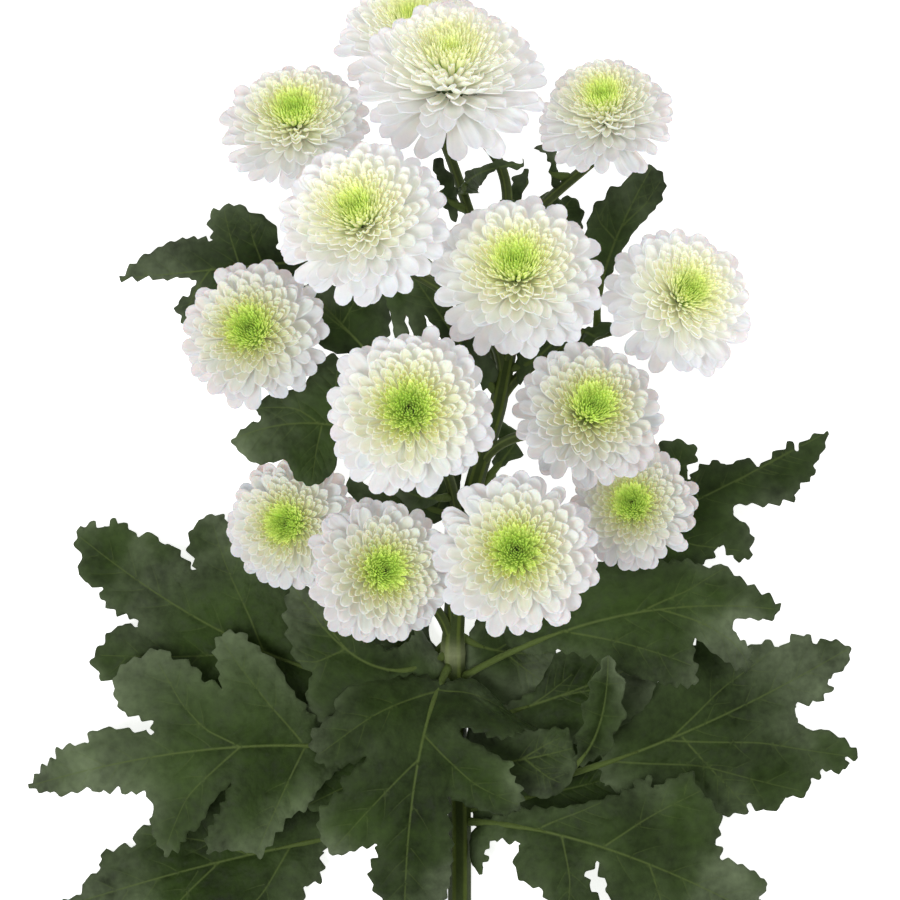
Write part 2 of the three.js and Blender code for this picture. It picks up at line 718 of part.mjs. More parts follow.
function leafSpine(leaf) {
  const via = fromGrid(...leaf.via);
  const tip = fromGrid(...leaf.tip);
  const place = Array.isArray(leaf.foot) ? stalkAt(leaf.foot) : stemAt(leaf.foot);
  const bendFrom = (foot) => {
    const bend = via.clone().multiplyScalar(2);
    return bend.addScaledVector(foot, -0.5).addScaledVector(tip, -0.5);
  };
  const heading = bendFrom(place.point).sub(place.point).normalize();
  const side = new THREE.Vector3().crossVectors(UP, heading).normalize();
  const over = new THREE.Vector3().crossVectors(heading, side);
  const ends = [-STALK_HALF, 0, STALK_HALF].flatMap((across) => [0, -RIB_THICK].map((depth) => (
    side.clone().multiplyScalar(across).addScaledVector(over, depth)
  )));
  const axis = new THREE.Ray(place.point.clone().addScaledVector(place.along, -FOOT_REACH), place.along);
  const foot = place.point.clone();
  const nearest = () => {
    const far = ends.map((end) => axis.distanceSqToPoint(end.clone().add(foot)));
    return Math.sqrt(Math.min(...far));
  };
  while (nearest() < place.r + FOOT_GAP) {
    foot.addScaledVector(heading, FOOT_STEP);
  }
  return new THREE.QuadraticBezierCurve3(foot, bendFrom(foot), tip);
}

// Leaf blade laid along its curved midrib and given its thickness

function leafBlade(leaf, seed) {
  const spine = leafSpine(leaf);
  const length = spine.getLength();
  const stalkLength = length * leaf.stalk;
  const blade = length - stalkLength;
  const track = spine.getSpacedPoints(SPINE_STEPS);
  const onPlan = (across, down) => {
    const target = fromGrid(across, down, (leaf.via[2] + leaf.tip[2]) / 2);
    const far = track.map((p) => Math.hypot(p.x - target.x, p.y - target.y));
    const k = far.indexOf(Math.min(...far));
    const along = track[Math.min(k + 1, SPINE_STEPS)].clone().sub(track[Math.max(k - 1, 0)]);
    const turn = along.x * (target.y - track[k].y) - along.y * (target.x - track[k].x);
    return [(k / SPINE_STEPS) * length - stalkLength, Math.sign(turn) * far[k]];
  };
  const flat = leafPlan(leaf, blade, stalkLength, onPlan);
  const fold = leaf.fold || FOLD;
  const roll = rad(leaf.roll || 0);
  const above = [];
  const below = [];
  flat.plan.forEach(([u, v]) => {
    const t = Math.min(1, Math.max(0, (u + stalkLength) / length));
    const along = spine.getTangentAt(t);
    const side = new THREE.Vector3().crossVectors(UP, along).normalize();
    const over = new THREE.Vector3().crossVectors(along, side);
    const turnedSide = side.clone().multiplyScalar(Math.cos(roll)).addScaledVector(over, Math.sin(roll));
    const turnedOver = over.clone().multiplyScalar(Math.cos(roll)).addScaledVector(side, -Math.sin(roll));
    const share = Math.abs(v) / blade;
    const onBlade = u > 0 || Math.abs(v) > STALK_HALF * 1.01 ? 1 : 0;
    const swing = Math.sin((u / blade) * 11 + seed + Math.sign(v) * 2);
    const ripple = leaf.wave * Math.min(1, share * 4) * swing;
    const lift = onBlade * (fold * Math.abs(v) - 0.45 * share * Math.abs(v) + ripple);
    const point = spine.getPointAt(t).addScaledVector(turnedSide, v).addScaledVector(turnedOver, lift);
    const onRib = Math.abs(v) < 0.01;
    const ribThick = mix(RIB_THICK, 0.9, Math.max(0, u) / blade);
    const thick = onRib ? ribThick : mix(RIB_THICK * 0.8, BLADE_THICK, Math.min(1, share * 12 * onBlade));
    const under = point.clone().addScaledVector(turnedOver, -thick);
    const raise = Math.max(0, -under.z);
    point.z += raise;
    under.z += raise;
    above.push(point);
    below.push(under);
  });
  const count = above.length;
  const faces = [...flat.faces];
  flat.faces.forEach((f) => faces.push([f[0] + count, f[2] + count, f[1] + count]));
  flat.loop.forEach((a, k) => {
    const b = flat.loop[(k + 1) % flat.loop.length];
    faces.push([a, a + count, b + count], [a, b + count, b]);
  });
  return geometry([...above, ...below], faces);
}

function stalkAt([number, share]) {
  const curve = stalkCurve(BLOOMS[number - 1]);
  return { point: curve.getPoint(share), along: curve.getTangent(share), r: STALK_R };
}

// Assembly

const group = new THREE.Group();
group.name = 'poppy_chrysanthemum';

function addPiece(name, shape, colour, roughness) {
  const material = new THREE.MeshStandardMaterial({ color: colour, roughness, metalness: 0 });
  const mesh = new THREE.Mesh(shape, material);
  mesh.name = name;
  group.add(mesh);
}

const stemParts = [toSolid(mainStem()), ...BLOOMS.map((bloom) => stalk(bloom))];
addPiece('stem', fromSolid(Manifold.union(stemParts)), STEM_COLOUR, 0.55);

BLOOMS.forEach((bloom, k) => {
  const number = String(k + 1).padStart(2, '0');
  addPiece(`bloom_${number}_petals`, petals(bloom, k + 1), PETAL_COLOUR, 0.6);
  addPiece(`bloom_${number}_eye`, eye(bloom, k + 1), EYE_COLOUR, 0.6);
});

LEAVES.forEach((leaf, k) => {
  addPiece(leaf.name, leafBlade(leaf, k * 1.7), LEAF_COLOUR, 0.7);
});

export default group;
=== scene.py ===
"""Cut spray of white double chrysanthemum blooms with green hearts, lying on a pale floor."""

import math

import bpy
import numpy as np
from bpy.props import FloatProperty, FloatVectorProperty, IntProperty, PointerProperty
from bpy.types import Operator, Panel, PropertyGroup
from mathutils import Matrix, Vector
from mathutils.geometry import delaunay_2d_cdt


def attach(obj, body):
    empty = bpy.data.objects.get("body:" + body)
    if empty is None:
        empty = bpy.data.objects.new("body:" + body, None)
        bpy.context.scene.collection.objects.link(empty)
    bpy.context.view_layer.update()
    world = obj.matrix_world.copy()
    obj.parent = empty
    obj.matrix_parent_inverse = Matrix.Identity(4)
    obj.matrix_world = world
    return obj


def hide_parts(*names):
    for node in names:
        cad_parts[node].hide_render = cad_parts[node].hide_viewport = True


bl_info = {
    "name": "Chrysanthemum Spray",
    "version": (1, 0, 0),
    "blender": (4, 5, 0),
    "location": "View3D > Sidebar > Spray",
    "description": "Petals, hearts, leaves and stem of a cut chrysanthemum spray",
    "category": "Object",
}

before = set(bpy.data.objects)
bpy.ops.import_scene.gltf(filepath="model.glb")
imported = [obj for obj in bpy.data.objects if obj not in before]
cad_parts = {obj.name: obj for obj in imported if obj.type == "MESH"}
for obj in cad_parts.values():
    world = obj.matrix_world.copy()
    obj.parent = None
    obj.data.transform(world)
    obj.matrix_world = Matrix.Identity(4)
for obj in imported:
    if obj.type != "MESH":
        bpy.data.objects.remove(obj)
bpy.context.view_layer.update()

MM = 0.001
UP = np.array([0.0, 0.0, 1.0])
GOLDEN_TURN = math.pi * (3 - math.sqrt(5))

# Main stem: centre across, along and up, and radius, in millimetres

STEM_PATH = np.array([
    [0.5, -70, 2.956, 3.2],
    [0, -25, 2.956, 3.2],
    [0, 25, 2.956, 3.2],
    [-1.2, 62, 6.8, 3.1],
    [-1.5, 68, 8, 3.5],
    [-1.3, 74, 9, 3],
    [0, 95, 12, 2.8],
    [4.9, 117.5, 17, 2.6],
    [11.1, 137.3, 22, 2.45],
    [14.4, 154.3, 26, 2.3],
    [14.4, 176.8, 29, 2.15],
    [13.8, 196.3, 33, 2],
])

# The joint's place along the stem, and how far the stem's lower half is moved across

JOINT_Y = 68
LOW_SHIFT = 0.5

# Blooms: centre, radius, heading and tilt in degrees, height over radius, where the stalk leaves the stem,
# how pale the heart is, how far the side turned towards the eye hangs down and how bright the petals are,
# which is painted shade on the lower blooms. The first two stalks are led by a handle of their own, and the
# first has a short pull at its neck.

BLOOMS = [
    {"at": (-13.1, 243.8, 12), "r": 21, "heading": 95, "tilt": 35, "high": 0.62, "start": 152,
     "lead": (7, 192, 20), "neck": 0.08, "pale": 1.2, "hang": 0.14, "brightness": 1},
    {"at": (-2, 227.8, 50), "r": 26.2, "heading": 90, "tilt": 38, "high": 0.72, "start": 194,
     "lead": (15, 214, 38), "pale": 1.5, "hang": 0.05, "brightness": 1},
    {"at": (-45.5, 217.1, 34), "r": 20.8, "heading": 95, "tilt": 33, "high": 0.52, "start": 137,
     "pale": 0.3, "hang": 0.09, "brightness": 0.6},
    {"at": (41.7, 219.3, 30), "r": 19.2, "heading": 100, "tilt": 35, "high": 0.72, "start": 176.8,
     "pale": 0.6, "hang": 0.09, "brightness": 0.6},
    {"at": (-25.7, 187.1, 82), "r": 24, "heading": 112, "tilt": 26, "high": 0.65,
     "start": 142, "pale": 0.9, "brightness": 0.9},
    {"at": (16.2, 172.9, 64), "r": 24, "heading": 95, "tilt": 25, "high": 0.65,
     "start": 147, "pale": 0.5, "brightness": 0.75},
    {"at": (62.1, 167.9, 42), "r": 21.5, "heading": 48, "tilt": 22, "high": 0.62, "start": 137.3,
     "pale": 0.8, "hang": 0.08, "brightness": 1},
    {"at": (-56.6, 158.1, 46), "r": 20.7, "heading": 130, "tilt": 14, "high": 0.6,
     "start": 117.5, "brightness": 0.15},
    {"at": (-13.1, 136, 90), "r": 22.8, "heading": 95, "tilt": 7, "high": 0.65, "start": 95,
     "brightness": 0.5},
    {"at": (35.5, 135.1, 66), "r": 20.9, "heading": 65, "tilt": 20, "high": 0.65, "start": 118,
     "brightness": 0},
    {"at": (-46.4, 105.3, 36), "r": 18.7, "heading": 170, "tilt": 12, "high": 0.62, "start": 80,
     "brightness": 0},
    {"at": (-21.8, 92.7, 66), "r": 20.1, "heading": 20, "tilt": 11, "high": 0.65, "start": 67,
     "brightness": 0},
    {"at": (15.7, 97.7, 84), "r": 22.3, "heading": 95, "tilt": 7, "high": 0.65, "start": 72,
     "brightness": 0.3},
    {"at": (48.9, 109.8, 44), "r": 17.9, "heading": 110, "tilt": 12, "high": 0.6, "start": 90,
     "brightness": 0},
]

# Stalks and cups, in millimetres: the pulls and the cup's radius are shares of a stalk's span and of the
# bloom's radius, and FLOOR_Z is the level of the underside of a bloom over its radius

STALK_R = 1.6
STALK_PULL = 0.38
NECK_PULL = 0.24
CUP_R = 0.35
CUP_DEEP = 5.6
GAP = 0.3
FLOOR_Z = -0.16
CUP_LEVELS = [-1.2, 0, 1, 2.4, 3.8, 4.9, CUP_DEEP]
CUP_SHARES = [0.2, 0.24, 0.36, 0.62, 0.84, 0.95, 0.93]

# Rows of bracts round a cup: count, foot's radius and level, tip's radius and shift of the row

BRACT_ROWS = [(9, 0.2, -0.9, 0.4, 0.0), (10, 0.26, -0.6, 0.48, 0.3), (11, 0.3, -0.35, 0.54, 0.6)]

# Plan grid that the leaves are set out in: 900 steps across and down, seen from high above

GRID = {"middle": 450, "step": 0.28, "level": 40, "high": 1640, "centre": (-2.24, 126)}

# Leaves: foot on the stem, or bloom number and share of its stalk; half-way point and tip of the midrib as
# grid across, grid down and height. A blade is set out by its edge, from its foot round the tip and back, and
# its veins, all on the plan grid. A plain one is set out by its half widths over its length, the teeth on a
# side and the lobes on its right as start along the blade, tip and the notch after it.

LEAVES = [
    {"name": "leaf_left_upper", "foot": 57.4, "via": (262, 651, 12), "tip": (74, 532, 0),
     "stalk": 0.32, "wave": 0.8,
     "edge": [(338, 664), (334, 646), (320, 628), (300, 612), (297, 596), (291, 582), (272, 572), (250, 556),
              (232, 535), (222, 514), (205, 514), (197, 520), (188, 530), (187, 548), (198, 570), (190, 567),
              (182, 556), (172, 544), (165, 546), (150, 531), (138, 537), (125, 524), (112, 520), (105, 530),
              (90, 522), (74, 528), (74, 545), (83, 558), (76, 567), (85, 583), (102, 588), (99, 598),
              (115, 612), (135, 618), (143, 628), (125, 624), (105, 634), (103, 642), (95, 648), (89, 660),
              (98, 676), (122, 684), (160, 700), (200, 702), (232, 694), (246, 712), (272, 724), (300, 724),
              (322, 704), (336, 682)],
     "veins": [[(265, 648), (252, 620), (240, 595), (212, 525)], [(262, 650), (215, 655), (100, 655)]]},
    {"name": "leaf_left_middle", "foot": 36.1, "via": (240, 747, 20), "tip": (27, 787, 0),
     "stalk": 0.29, "wave": 0.8,
     "edge": [(352, 745), (334, 734), (312, 716), (292, 690), (275, 660), (258, 648), (240, 632), (220, 634),
              (213, 648), (217, 662), (222, 692), (215, 680), (203, 683), (195, 668), (185, 662), (170, 657),
              (158, 648), (140, 657), (120, 665), (112, 680), (115, 697), (125, 712), (150, 722), (155, 733),
              (145, 734), (130, 730), (115, 727), (105, 728), (90, 732), (90, 743), (70, 745), (57, 750),
              (55, 758), (40, 768), (27, 787), (40, 793), (55, 791), (60, 796), (90, 788), (98, 794),
              (118, 788), (125, 794), (145, 791), (150, 800), (155, 808), (150, 820), (152, 838), (163, 856),
              (178, 849), (186, 834), (200, 826), (213, 802), (226, 788), (232, 782), (222, 808), (207, 836),
              (207, 853), (228, 850), (250, 852), (260, 858), (270, 845), (290, 815), (305, 810), (320, 785),
              (340, 768)],
     "veins": [[(240, 747), (205, 730), (180, 705), (158, 665)],
               [(305, 738), (270, 705), (230, 655), (222, 642)], [(240, 747), (190, 795), (165, 845)],
               [(305, 748), (280, 800), (258, 850)]]},
    {"name": "leaf_left_lower", "foot": 20.1, "via": (245, 856, 6), "tip": (40, 915, 0),
     "stalk": 0.33, "wave": 0.5,
     "edge": [(350, 846), (336, 826), (318, 812), (290, 796), (262, 782), (240, 770), (216, 774), (202, 796),
              (199, 822), (190, 818), (172, 822), (150, 824), (134, 832), (137, 845), (120, 847), (100, 855),
              (103, 868), (85, 880), (80, 895), (60, 902), (40, 915), (62, 926), (84, 920), (104, 934),
              (112, 952), (136, 964), (152, 960), (166, 928), (186, 944), (214, 950), (240, 938), (256, 916),
              (280, 934), (306, 930), (305, 900), (304, 885), (320, 882), (323, 870), (320, 850)],
     "veins": [[(290, 840), (265, 890), (258, 900), (214, 942)], [(250, 854), (200, 840), (145, 834)],
               [(220, 862), (180, 900), (150, 952)]]},
    {"name": "leaf_front", "foot": 66.6, "via": (415, 780, 27), "tip": (404, 950, 10),
     "stalk": 0.14, "wave": 0.8,
     "edge": [(443, 684), (425, 676), (400, 675), (370, 672), (350, 685), (336, 695), (337, 708), (318, 725),
              (310, 735), (312, 750), (320, 765), (338, 768), (358, 762), (375, 748), (360, 765), (341, 782),
              (342, 790), (322, 808), (318, 820), (320, 838), (332, 858), (345, 855), (360, 848), (378, 846),
              (377, 855), (370, 868), (372, 885), (383, 900), (382, 922), (392, 936), (404, 950), (424, 940),
              (436, 922), (446, 900), (450, 880), (452, 850), (450, 830), (449, 796), (470, 808), (505, 818),
              (520, 810), (523, 797), (520, 785), (510, 775), (512, 762), (500, 758), (480, 745), (462, 738),
              (460, 726), (480, 733), (495, 738), (510, 738), (530, 727), (545, 722), (549, 712), (540, 703),
              (530, 692), (515, 678), (500, 675), (475, 678), (455, 680)],
     "veins": [[(438, 692), (370, 717), (322, 752)], [(418, 760), (360, 820), (335, 848)],
               [(445, 693), (520, 712), (542, 712)], [(430, 737), (475, 785), (515, 805)]]},
    {"name": "leaf_right_top", "foot": 83.2, "via": (640, 527, 18), "tip": (829, 431, 6),
     "stalk": 0.3, "wave": 0.8,
     "edge": [(640, 532), (632, 518), (640, 496), (650, 470), (655, 448), (662, 441), (680, 440), (697, 448),
              (697, 458), (685, 470), (690, 480), (697, 468), (718, 460), (725, 466), (748, 457), (760, 467),
              (777, 452), (792, 443), (797, 450), (810, 437), (829, 431), (826, 448), (815, 465), (815, 475),
              (797, 487), (796, 498), (770, 505), (740, 503), (733, 508), (733, 515), (740, 520), (750, 528),
              (754, 540), (750, 560), (735, 558), (725, 548), (718, 544), (715, 556), (704, 562), (688, 574),
              (662, 592), (640, 600), (624, 588), (620, 562), (630, 542)],
     "veins": [[(655, 520), (672, 490), (682, 450)], [(650, 526), (690, 545), (740, 550)],
               [(740, 490), (770, 462), (792, 450)], [(700, 502), (690, 470)]]},
    {"name": "leaf_right_upper", "foot": 59.5, "via": (620, 616, 26), "tip": (781, 610, 14),
     "stalk": 0.25, "wave": 0.8,
     "edge": [(506, 646), (520, 620), (546, 598), (572, 578), (596, 562), (620, 557), (645, 560), (670, 562),
              (690, 560), (700, 565), (712, 568), (722, 563), (735, 575), (757, 590), (770, 597), (781, 606),
              (775, 618), (765, 620), (745, 618), (733, 620), (733, 628), (735, 635), (752, 650), (754, 672),
              (735, 668), (712, 654), (694, 636), (692, 655), (697, 672), (695, 686), (670, 685), (645, 680),
              (618, 670), (592, 656), (560, 650), (532, 656)],
     "veins": [[(660, 610), (700, 622), (730, 640), (752, 668)], [(565, 636), (640, 648), (690, 665)],
               [(640, 610), (690, 590), (722, 570)]]},
    {"name": "leaf_right_middle", "foot": 25.8, "via": (655, 745, 8), "tip": (851, 647, 0),
     "stalk": 0.34, "wave": 0.5,
     "edge": [(604, 784), (598, 764), (608, 738), (628, 706), (644, 690), (664, 676), (684, 664), (688, 648),
              (702, 640), (718, 642), (734, 648), (755, 645), (770, 640), (778, 650), (790, 638), (805, 634),
              (812, 644), (825, 640), (838, 640), (851, 648), (848, 660), (845, 668), (828, 678), (832, 690),
              (818, 702), (795, 704), (793, 708), (798, 718), (796, 723), (805, 725), (812, 732), (822, 728),
              (840, 738), (850, 745), (862, 758), (848, 757), (848, 770), (835, 772), (822, 768), (820, 780),
              (812, 778), (810, 790), (803, 798), (785, 796), (782, 807), (765, 812), (750, 803), (747, 812),
              (735, 815), (718, 815), (696, 812), (676, 800), (652, 792), (628, 794)],
     "veins": [[(665, 738), (760, 742), (855, 757)], [(618, 774), (700, 765), (800, 790)],
               [(670, 733), (720, 690), (775, 648)], [(700, 778), (745, 806)]]},
    {"name": "leaf_right_lower", "foot": 19.5, "via": (610, 850, 16), "tip": (775, 925, 0),
     "stalk": 0.14, "wave": 0.8,
     "edge": [(478, 822), (500, 815), (516, 810), (536, 808), (560, 808), (580, 804), (600, 800), (615, 795),
              (630, 790), (640, 780), (650, 778), (655, 790), (665, 782), (680, 775), (693, 770), (696, 785),
              (708, 800), (718, 815), (718, 828), (713, 838), (720, 850), (720, 858), (735, 862), (755, 872),
              (768, 884), (765, 890), (758, 900), (770, 914), (775, 925), (758, 934), (736, 930), (716, 940),
              (690, 930), (666, 944), (640, 940), (622, 922), (612, 900), (606, 893), (608, 885), (600, 875),
              (598, 862), (586, 872), (588, 885), (600, 900), (604, 920), (590, 938), (562, 934), (549, 916),
              (546, 900), (543, 890), (535, 887), (520, 880), (514, 862), (518, 850), (522, 843), (510, 842),
              (496, 838), (489, 846), (486, 850), (489, 860), (482, 866), (484, 876), (474, 868), (469, 856),
              (468, 840)],
     "veins": [[(605, 842), (640, 822), (700, 790)], [(535, 832), (580, 812), (600, 803)],
               [(560, 840), (570, 880), (566, 930)], [(650, 862), (660, 900), (666, 940)]]},
    {"name": "leaf_right_inner", "foot": 36, "via": (514, 761, 16), "tip": (574, 748, 18),
     "stalk": 0.2, "wave": 0.5,
     "edge": [(460, 774), (456, 750), (455, 724), (480, 716), (500, 731), (516, 728), (535, 731), (556, 728),
              (578, 729), (592, 739), (586, 754), (576, 768), (570, 784), (556, 796), (538, 800), (520, 790),
              (502, 780), (488, 774)],
     "veins": [[(520, 758), (545, 745), (560, 738)], [(525, 762), (548, 778), (558, 782)]]},
    {"name": "leaf_right_behind", "foot": 47, "via": (548, 700, 9.5), "tip": (646, 662, 14),
     "stalk": 0.24, "wave": 0.4,
     "edge": [(484, 718), (500, 706), (518, 700), (536, 690), (546, 672), (555, 654), (574, 644), (600, 640),
              (626, 636), (646, 640), (662, 650), (669, 668), (658, 684), (648, 704), (630, 720), (606, 738),
              (580, 745), (552, 742), (524, 738), (500, 732)],
     "veins": [[(530, 712), (548, 694), (570, 676)], [(560, 698), (590, 690), (620, 700)]]},
    {"name": "leaf_right_under", "foot": 22.6, "via": (545, 794, 2.6), "tip": (622, 776, 3.4),
     "stalk": 0.35, "wave": 0.2,
     "edge": [(464, 826), (466, 800), (500, 790), (520, 778), (540, 762), (562, 742), (584, 736), (606, 738),
              (624, 752), (640, 768), (640, 784), (622, 798), (598, 808), (570, 816), (540, 822),
              (506, 828)]},
    {"name": "leaf_left_behind", "foot": 41, "via": (388, 768, 7), "tip": (306, 806, 8),
     "stalk": 0.26, "half": (0.18, 0.16), "teeth": 1, "wave": 0.3,
     "right": [(0.2, 322, 706, 322, 762)]},
    {"name": "leaf_right_folded", "foot": 32.5, "via": (574, 767, 17), "tip": (608, 655, 34),
     "stalk": 0.48, "half": (0.15, 0.15), "teeth": 3, "wave": 0.3, "fold": 0.8},
    {"name": "leaf_left_inner", "foot": 68.9, "via": (365, 662, 19.8), "tip": (291, 582, 13),
     "stalk": 0.2, "wave": 0.5,
     "edge": [(448, 652), (448, 628), (443, 610), (431, 604), (421, 616), (416, 634), (400, 646), (386, 650),
              (372, 638), (346, 616), (322, 598), (306, 586), (291, 582), (286, 600), (285, 620), (290, 640),
              (296, 662), (312, 672), (306, 694), (308, 720), (326, 730), (350, 712), (368, 694), (390, 690),
              (430, 686), (450, 682)],
     "veins": [[(350, 650), (325, 620), (300, 600)], [(340, 655), (315, 662), (298, 660)]]},
    {"name": "leaf_top_left", "foot": (3, 0.5), "via": (262, 265, 22), "tip": (120, 279, 8),
     "stalk": 0.32, "wave": 0.6,
     "edge": [(330, 250), (312, 246), (296, 252), (283, 253), (275, 245), (278, 231), (265, 216), (257, 214),
              (250, 212), (240, 204), (225, 206), (212, 212), (208, 218), (210, 225), (215, 241), (200, 238),
              (185, 238), (165, 243), (140, 258), (120, 279), (140, 278), (150, 277), (160, 280), (180, 277),
              (197, 280), (190, 295), (180, 302), (179, 312), (186, 322), (204, 318), (226, 306), (252, 298),
              (284, 288), (314, 272)],
     "veins": [[(240, 267), (232, 240), (225, 212)], [(210, 262), (196, 290), (188, 316)],
               [(262, 265), (252, 236), (250, 216)]]},
    {"name": "leaf_upper_left_inner", "foot": (8, 0.45), "via": (362, 346, 32), "tip": (304, 285, 36),
     "stalk": 0.25, "wave": 0.3,
     "edge": [(368, 358), (380, 348), (390, 334), (391, 310), (386, 290), (360, 284), (335, 286), (315, 280),
              (303, 284), (302, 304), (308, 326), (320, 346), (336, 354), (352, 354)],
     "veins": [[(352, 335), (330, 318), (310, 300)], [(345, 322), (356, 300), (362, 290)]]},
    {"name": "leaf_middle_left", "foot": (9, 0.4), "via": (325, 424, 46), "tip": (230, 441, 46),
     "stalk": 0.3, "wave": 0.3, "roll": 7,
     "edge": [(346, 412), (342, 396), (346, 376), (345, 358), (337, 352), (324, 358), (312, 372), (306, 386),
              (290, 390), (266, 396), (249, 408), (262, 415), (260, 420), (245, 427), (230, 442), (240, 452),
              (252, 462), (262, 465), (288, 460), (290, 470), (297, 480), (311, 486), (322, 482), (335, 470),
              (340, 448)],
     "veins": [[(322, 424), (316, 450), (312, 480)], [(320, 424), (296, 408), (258, 408)],
               [(334, 420), (336, 390), (340, 366)]]},
    {"name": "leaf_top_right", "foot": (7, 0.55), "via": (609, 258, 28), "tip": (653, 165, 24),
     "stalk": 0.22, "wave": 0.4,
     "edge": [(605, 282), (592, 266), (583, 246), (588, 222), (596, 201), (604, 200), (610, 186), (621, 187),
              (631, 173), (650, 165), (660, 170), (666, 183), (662, 200), (645, 220), (635, 230), (624, 248),
              (614, 268)],
     "veins": [[(616, 240), (600, 222), (596, 208)], [(622, 228), (645, 205), (660, 182)]]},
    {"name": "leaf_top_behind", "foot": (4, 0.3), "via": (548, 222, 22), "tip": (574, 196, 16),
     "stalk": 0.2, "wave": 0.3,
     "edge": [(568, 232), (556, 218), (546, 210), (536, 207), (539, 197), (548, 190), (556, 191), (561, 200),
              (568, 194), (577, 199), (584, 212), (584, 226), (578, 234)]},
    {"name": "leaf_right_bract", "foot": (7, 0.45), "via": (588, 333, 33), "tip": (613, 352, 36),
     "stalk": 0.2, "wave": 0.2,
     "edge": [(564, 338), (576, 336), (590, 328), (604, 322), (611, 320), (615, 330), (604, 334), (595, 337),
              (592, 343), (589, 349), (583, 355), (576, 350), (566, 347)]},
    {"name": "leaf_stem_bract", "foot": 113, "via": (501, 462, 15), "tip": (522, 434, 13),
     "stalk": 0.3, "wave": 0.2,
     "edge": [(489, 480), (493, 464), (498, 444), (501, 424), (508, 410), (515, 420), (523, 430), (513, 439),
              (519, 447), (525, 455), (512, 460), (499, 468), (492, 481)]},
    {"name": "leaf_joint_left", "foot": 73, "via": (416, 651, 5), "tip": (372, 630, 6),
     "stalk": 0.12, "wave": 0.3,
     "edge": [(447, 652), (446, 622), (430, 610), (402, 612), (386, 619), (366, 620), (350, 630), (352, 640),
              (343, 650), (352, 658), (350, 668), (366, 672), (374, 682), (392, 680), (404, 688), (420, 680),
              (434, 674), (443, 660)],
     "veins": [[(424, 650), (410, 640), (396, 632)], [(416, 652), (404, 664), (388, 672)]]},
    {"name": "leaf_joint_right", "foot": 74, "via": (505, 652, 4), "tip": (556, 652, 3.4),
     "stalk": 0.12, "wave": 0.3,
     "edge": [(465, 650), (465, 620), (478, 602), (500, 602), (506, 622), (514, 630), (530, 622), (548, 630),
              (566, 620), (582, 622), (590, 636), (582, 648), (590, 660), (574, 672), (566, 688), (552, 690),
              (546, 704), (528, 714), (508, 714), (488, 708), (472, 692), (465, 668)],
     "veins": [[(496, 650), (512, 640), (530, 632)], [(505, 652), (524, 668), (544, 682)]]},
    {"name": "leaf_centre_left", "foot": 107, "via": (412, 502, 19), "tip": (352, 474, 25),
     "stalk": 0.2, "wave": 0.3,
     "edge": [(476, 510), (482, 494), (484, 478), (476, 464), (460, 460), (446, 468), (436, 480), (418, 484),
              (404, 494), (386, 486), (372, 490), (356, 474), (349, 458), (340, 464), (338, 480), (350, 494),
              (360, 506), (378, 508), (392, 518), (412, 516), (428, 524), (450, 518), (466, 520)],
     "veins": [[(440, 500), (448, 486), (462, 474)], [(420, 502), (404, 506), (390, 510)]]},
    {"name": "leaf_centre_upper", "foot": 141, "via": (455, 336, 34), "tip": (408, 268, 40),
     "stalk": 0.28, "wave": 0.3,
     "edge": [(500, 392), (500, 374), (490, 354), (478, 340), (466, 322), (452, 306), (444, 296), (438, 284),
              (434, 270), (424, 262), (408, 264), (403, 275), (392, 284), (381, 290), (386, 300), (392, 318),
              (397, 344), (410, 344), (408, 328), (403, 311), (411, 324), (415, 344), (433, 344), (428, 328),
              (424, 314), (434, 326), (442, 342), (454, 352), (466, 366), (482, 384), (492, 396)]},
    {"name": "leaf_centre_right", "foot": 149, "via": (548, 348, 31), "tip": (590, 296, 34),
     "stalk": 0.15, "wave": 0.3,
     "edge": [(509, 384), (511, 366), (517, 350), (530, 344), (543, 334), (552, 322), (566, 316), (578, 304),
              (592, 296), (590, 310), (578, 322), (570, 336), (556, 348), (544, 358), (530, 370),
              (517, 386)]},
    {"name": "leaf_centre_lower", "foot": (9, 0.24), "via": (418, 496, 33), "tip": (395, 482, 34),
     "stalk": 0.2, "half": (0.24, 0.24), "teeth": 1, "wave": 0.2},
    {"name": "leaf_bract_left", "foot": (1, 0.36), "via": (437, 185, 23), "tip": (436, 148, 24),
     "stalk": 0.15, "wave": 0.2,
     "edge": [(456, 224), (448, 210), (440, 198), (445, 188), (438, 181), (434, 170), (433, 158), (443, 158),
              (446, 170), (454, 175), (459, 192), (460, 210)]},
    {"name": "leaf_bract_front", "foot": (1, 0.4), "via": (478, 174, 40), "tip": (524, 163, 48),
     "stalk": 0.15, "wave": 0.2,
     "edge": [(457, 216), (463, 200), (465, 186), (465, 172), (474, 169), (484, 166), (494, 161), (505, 160),
              (515, 164), (522, 163), (525, 158), (527, 164), (521, 169), (508, 168), (497, 168), (488, 174),
              (482, 184), (477, 197), (470, 209), (461, 219)]},
    {"name": "leaf_bract_stem", "foot": 190, "via": (524, 205, 29), "tip": (528, 168, 26),
     "stalk": 0.15, "wave": 0.2,
     "edge": [(513, 206), (511, 190), (513, 177), (520, 173), (528, 168), (529, 178), (524, 190), (519, 202),
              (517, 207)]},
    {"name": "leaf_bract_right", "foot": (4, 0.6), "via": (545, 168, 26), "tip": (533, 146, 24),
     "stalk": 0.15, "wave": 0.2,
     "edge": [(556, 190), (552, 177), (551, 165), (547, 155), (540, 149), (532, 147), (536, 142), (548, 142),
              (557, 148), (557, 162), (561, 176), (563, 190)]},
]

# Blades, in millimetres: LOBE_HALF and FOLD are shares of the blade's length and of the distance from the
# midrib, and RIPPLE to QUILT are the heights of its puckers

STALK_HALF = 1.1
RIB_THICK = 1.5
LOBE_HALF = 0.11
FOLD = 0.12
FOOT_GAP = 0.5
TRACK_STEPS = 240
LARGE_BLADE = 45
TOOTH_PITCH = 4.4
RIPPLE = 1.4
FRILL = 0.8
SWELL = 1.2
QUILT = 0.9
LEAF_STALK_R = 0.95
FLOOR_CLEAR = 0.03

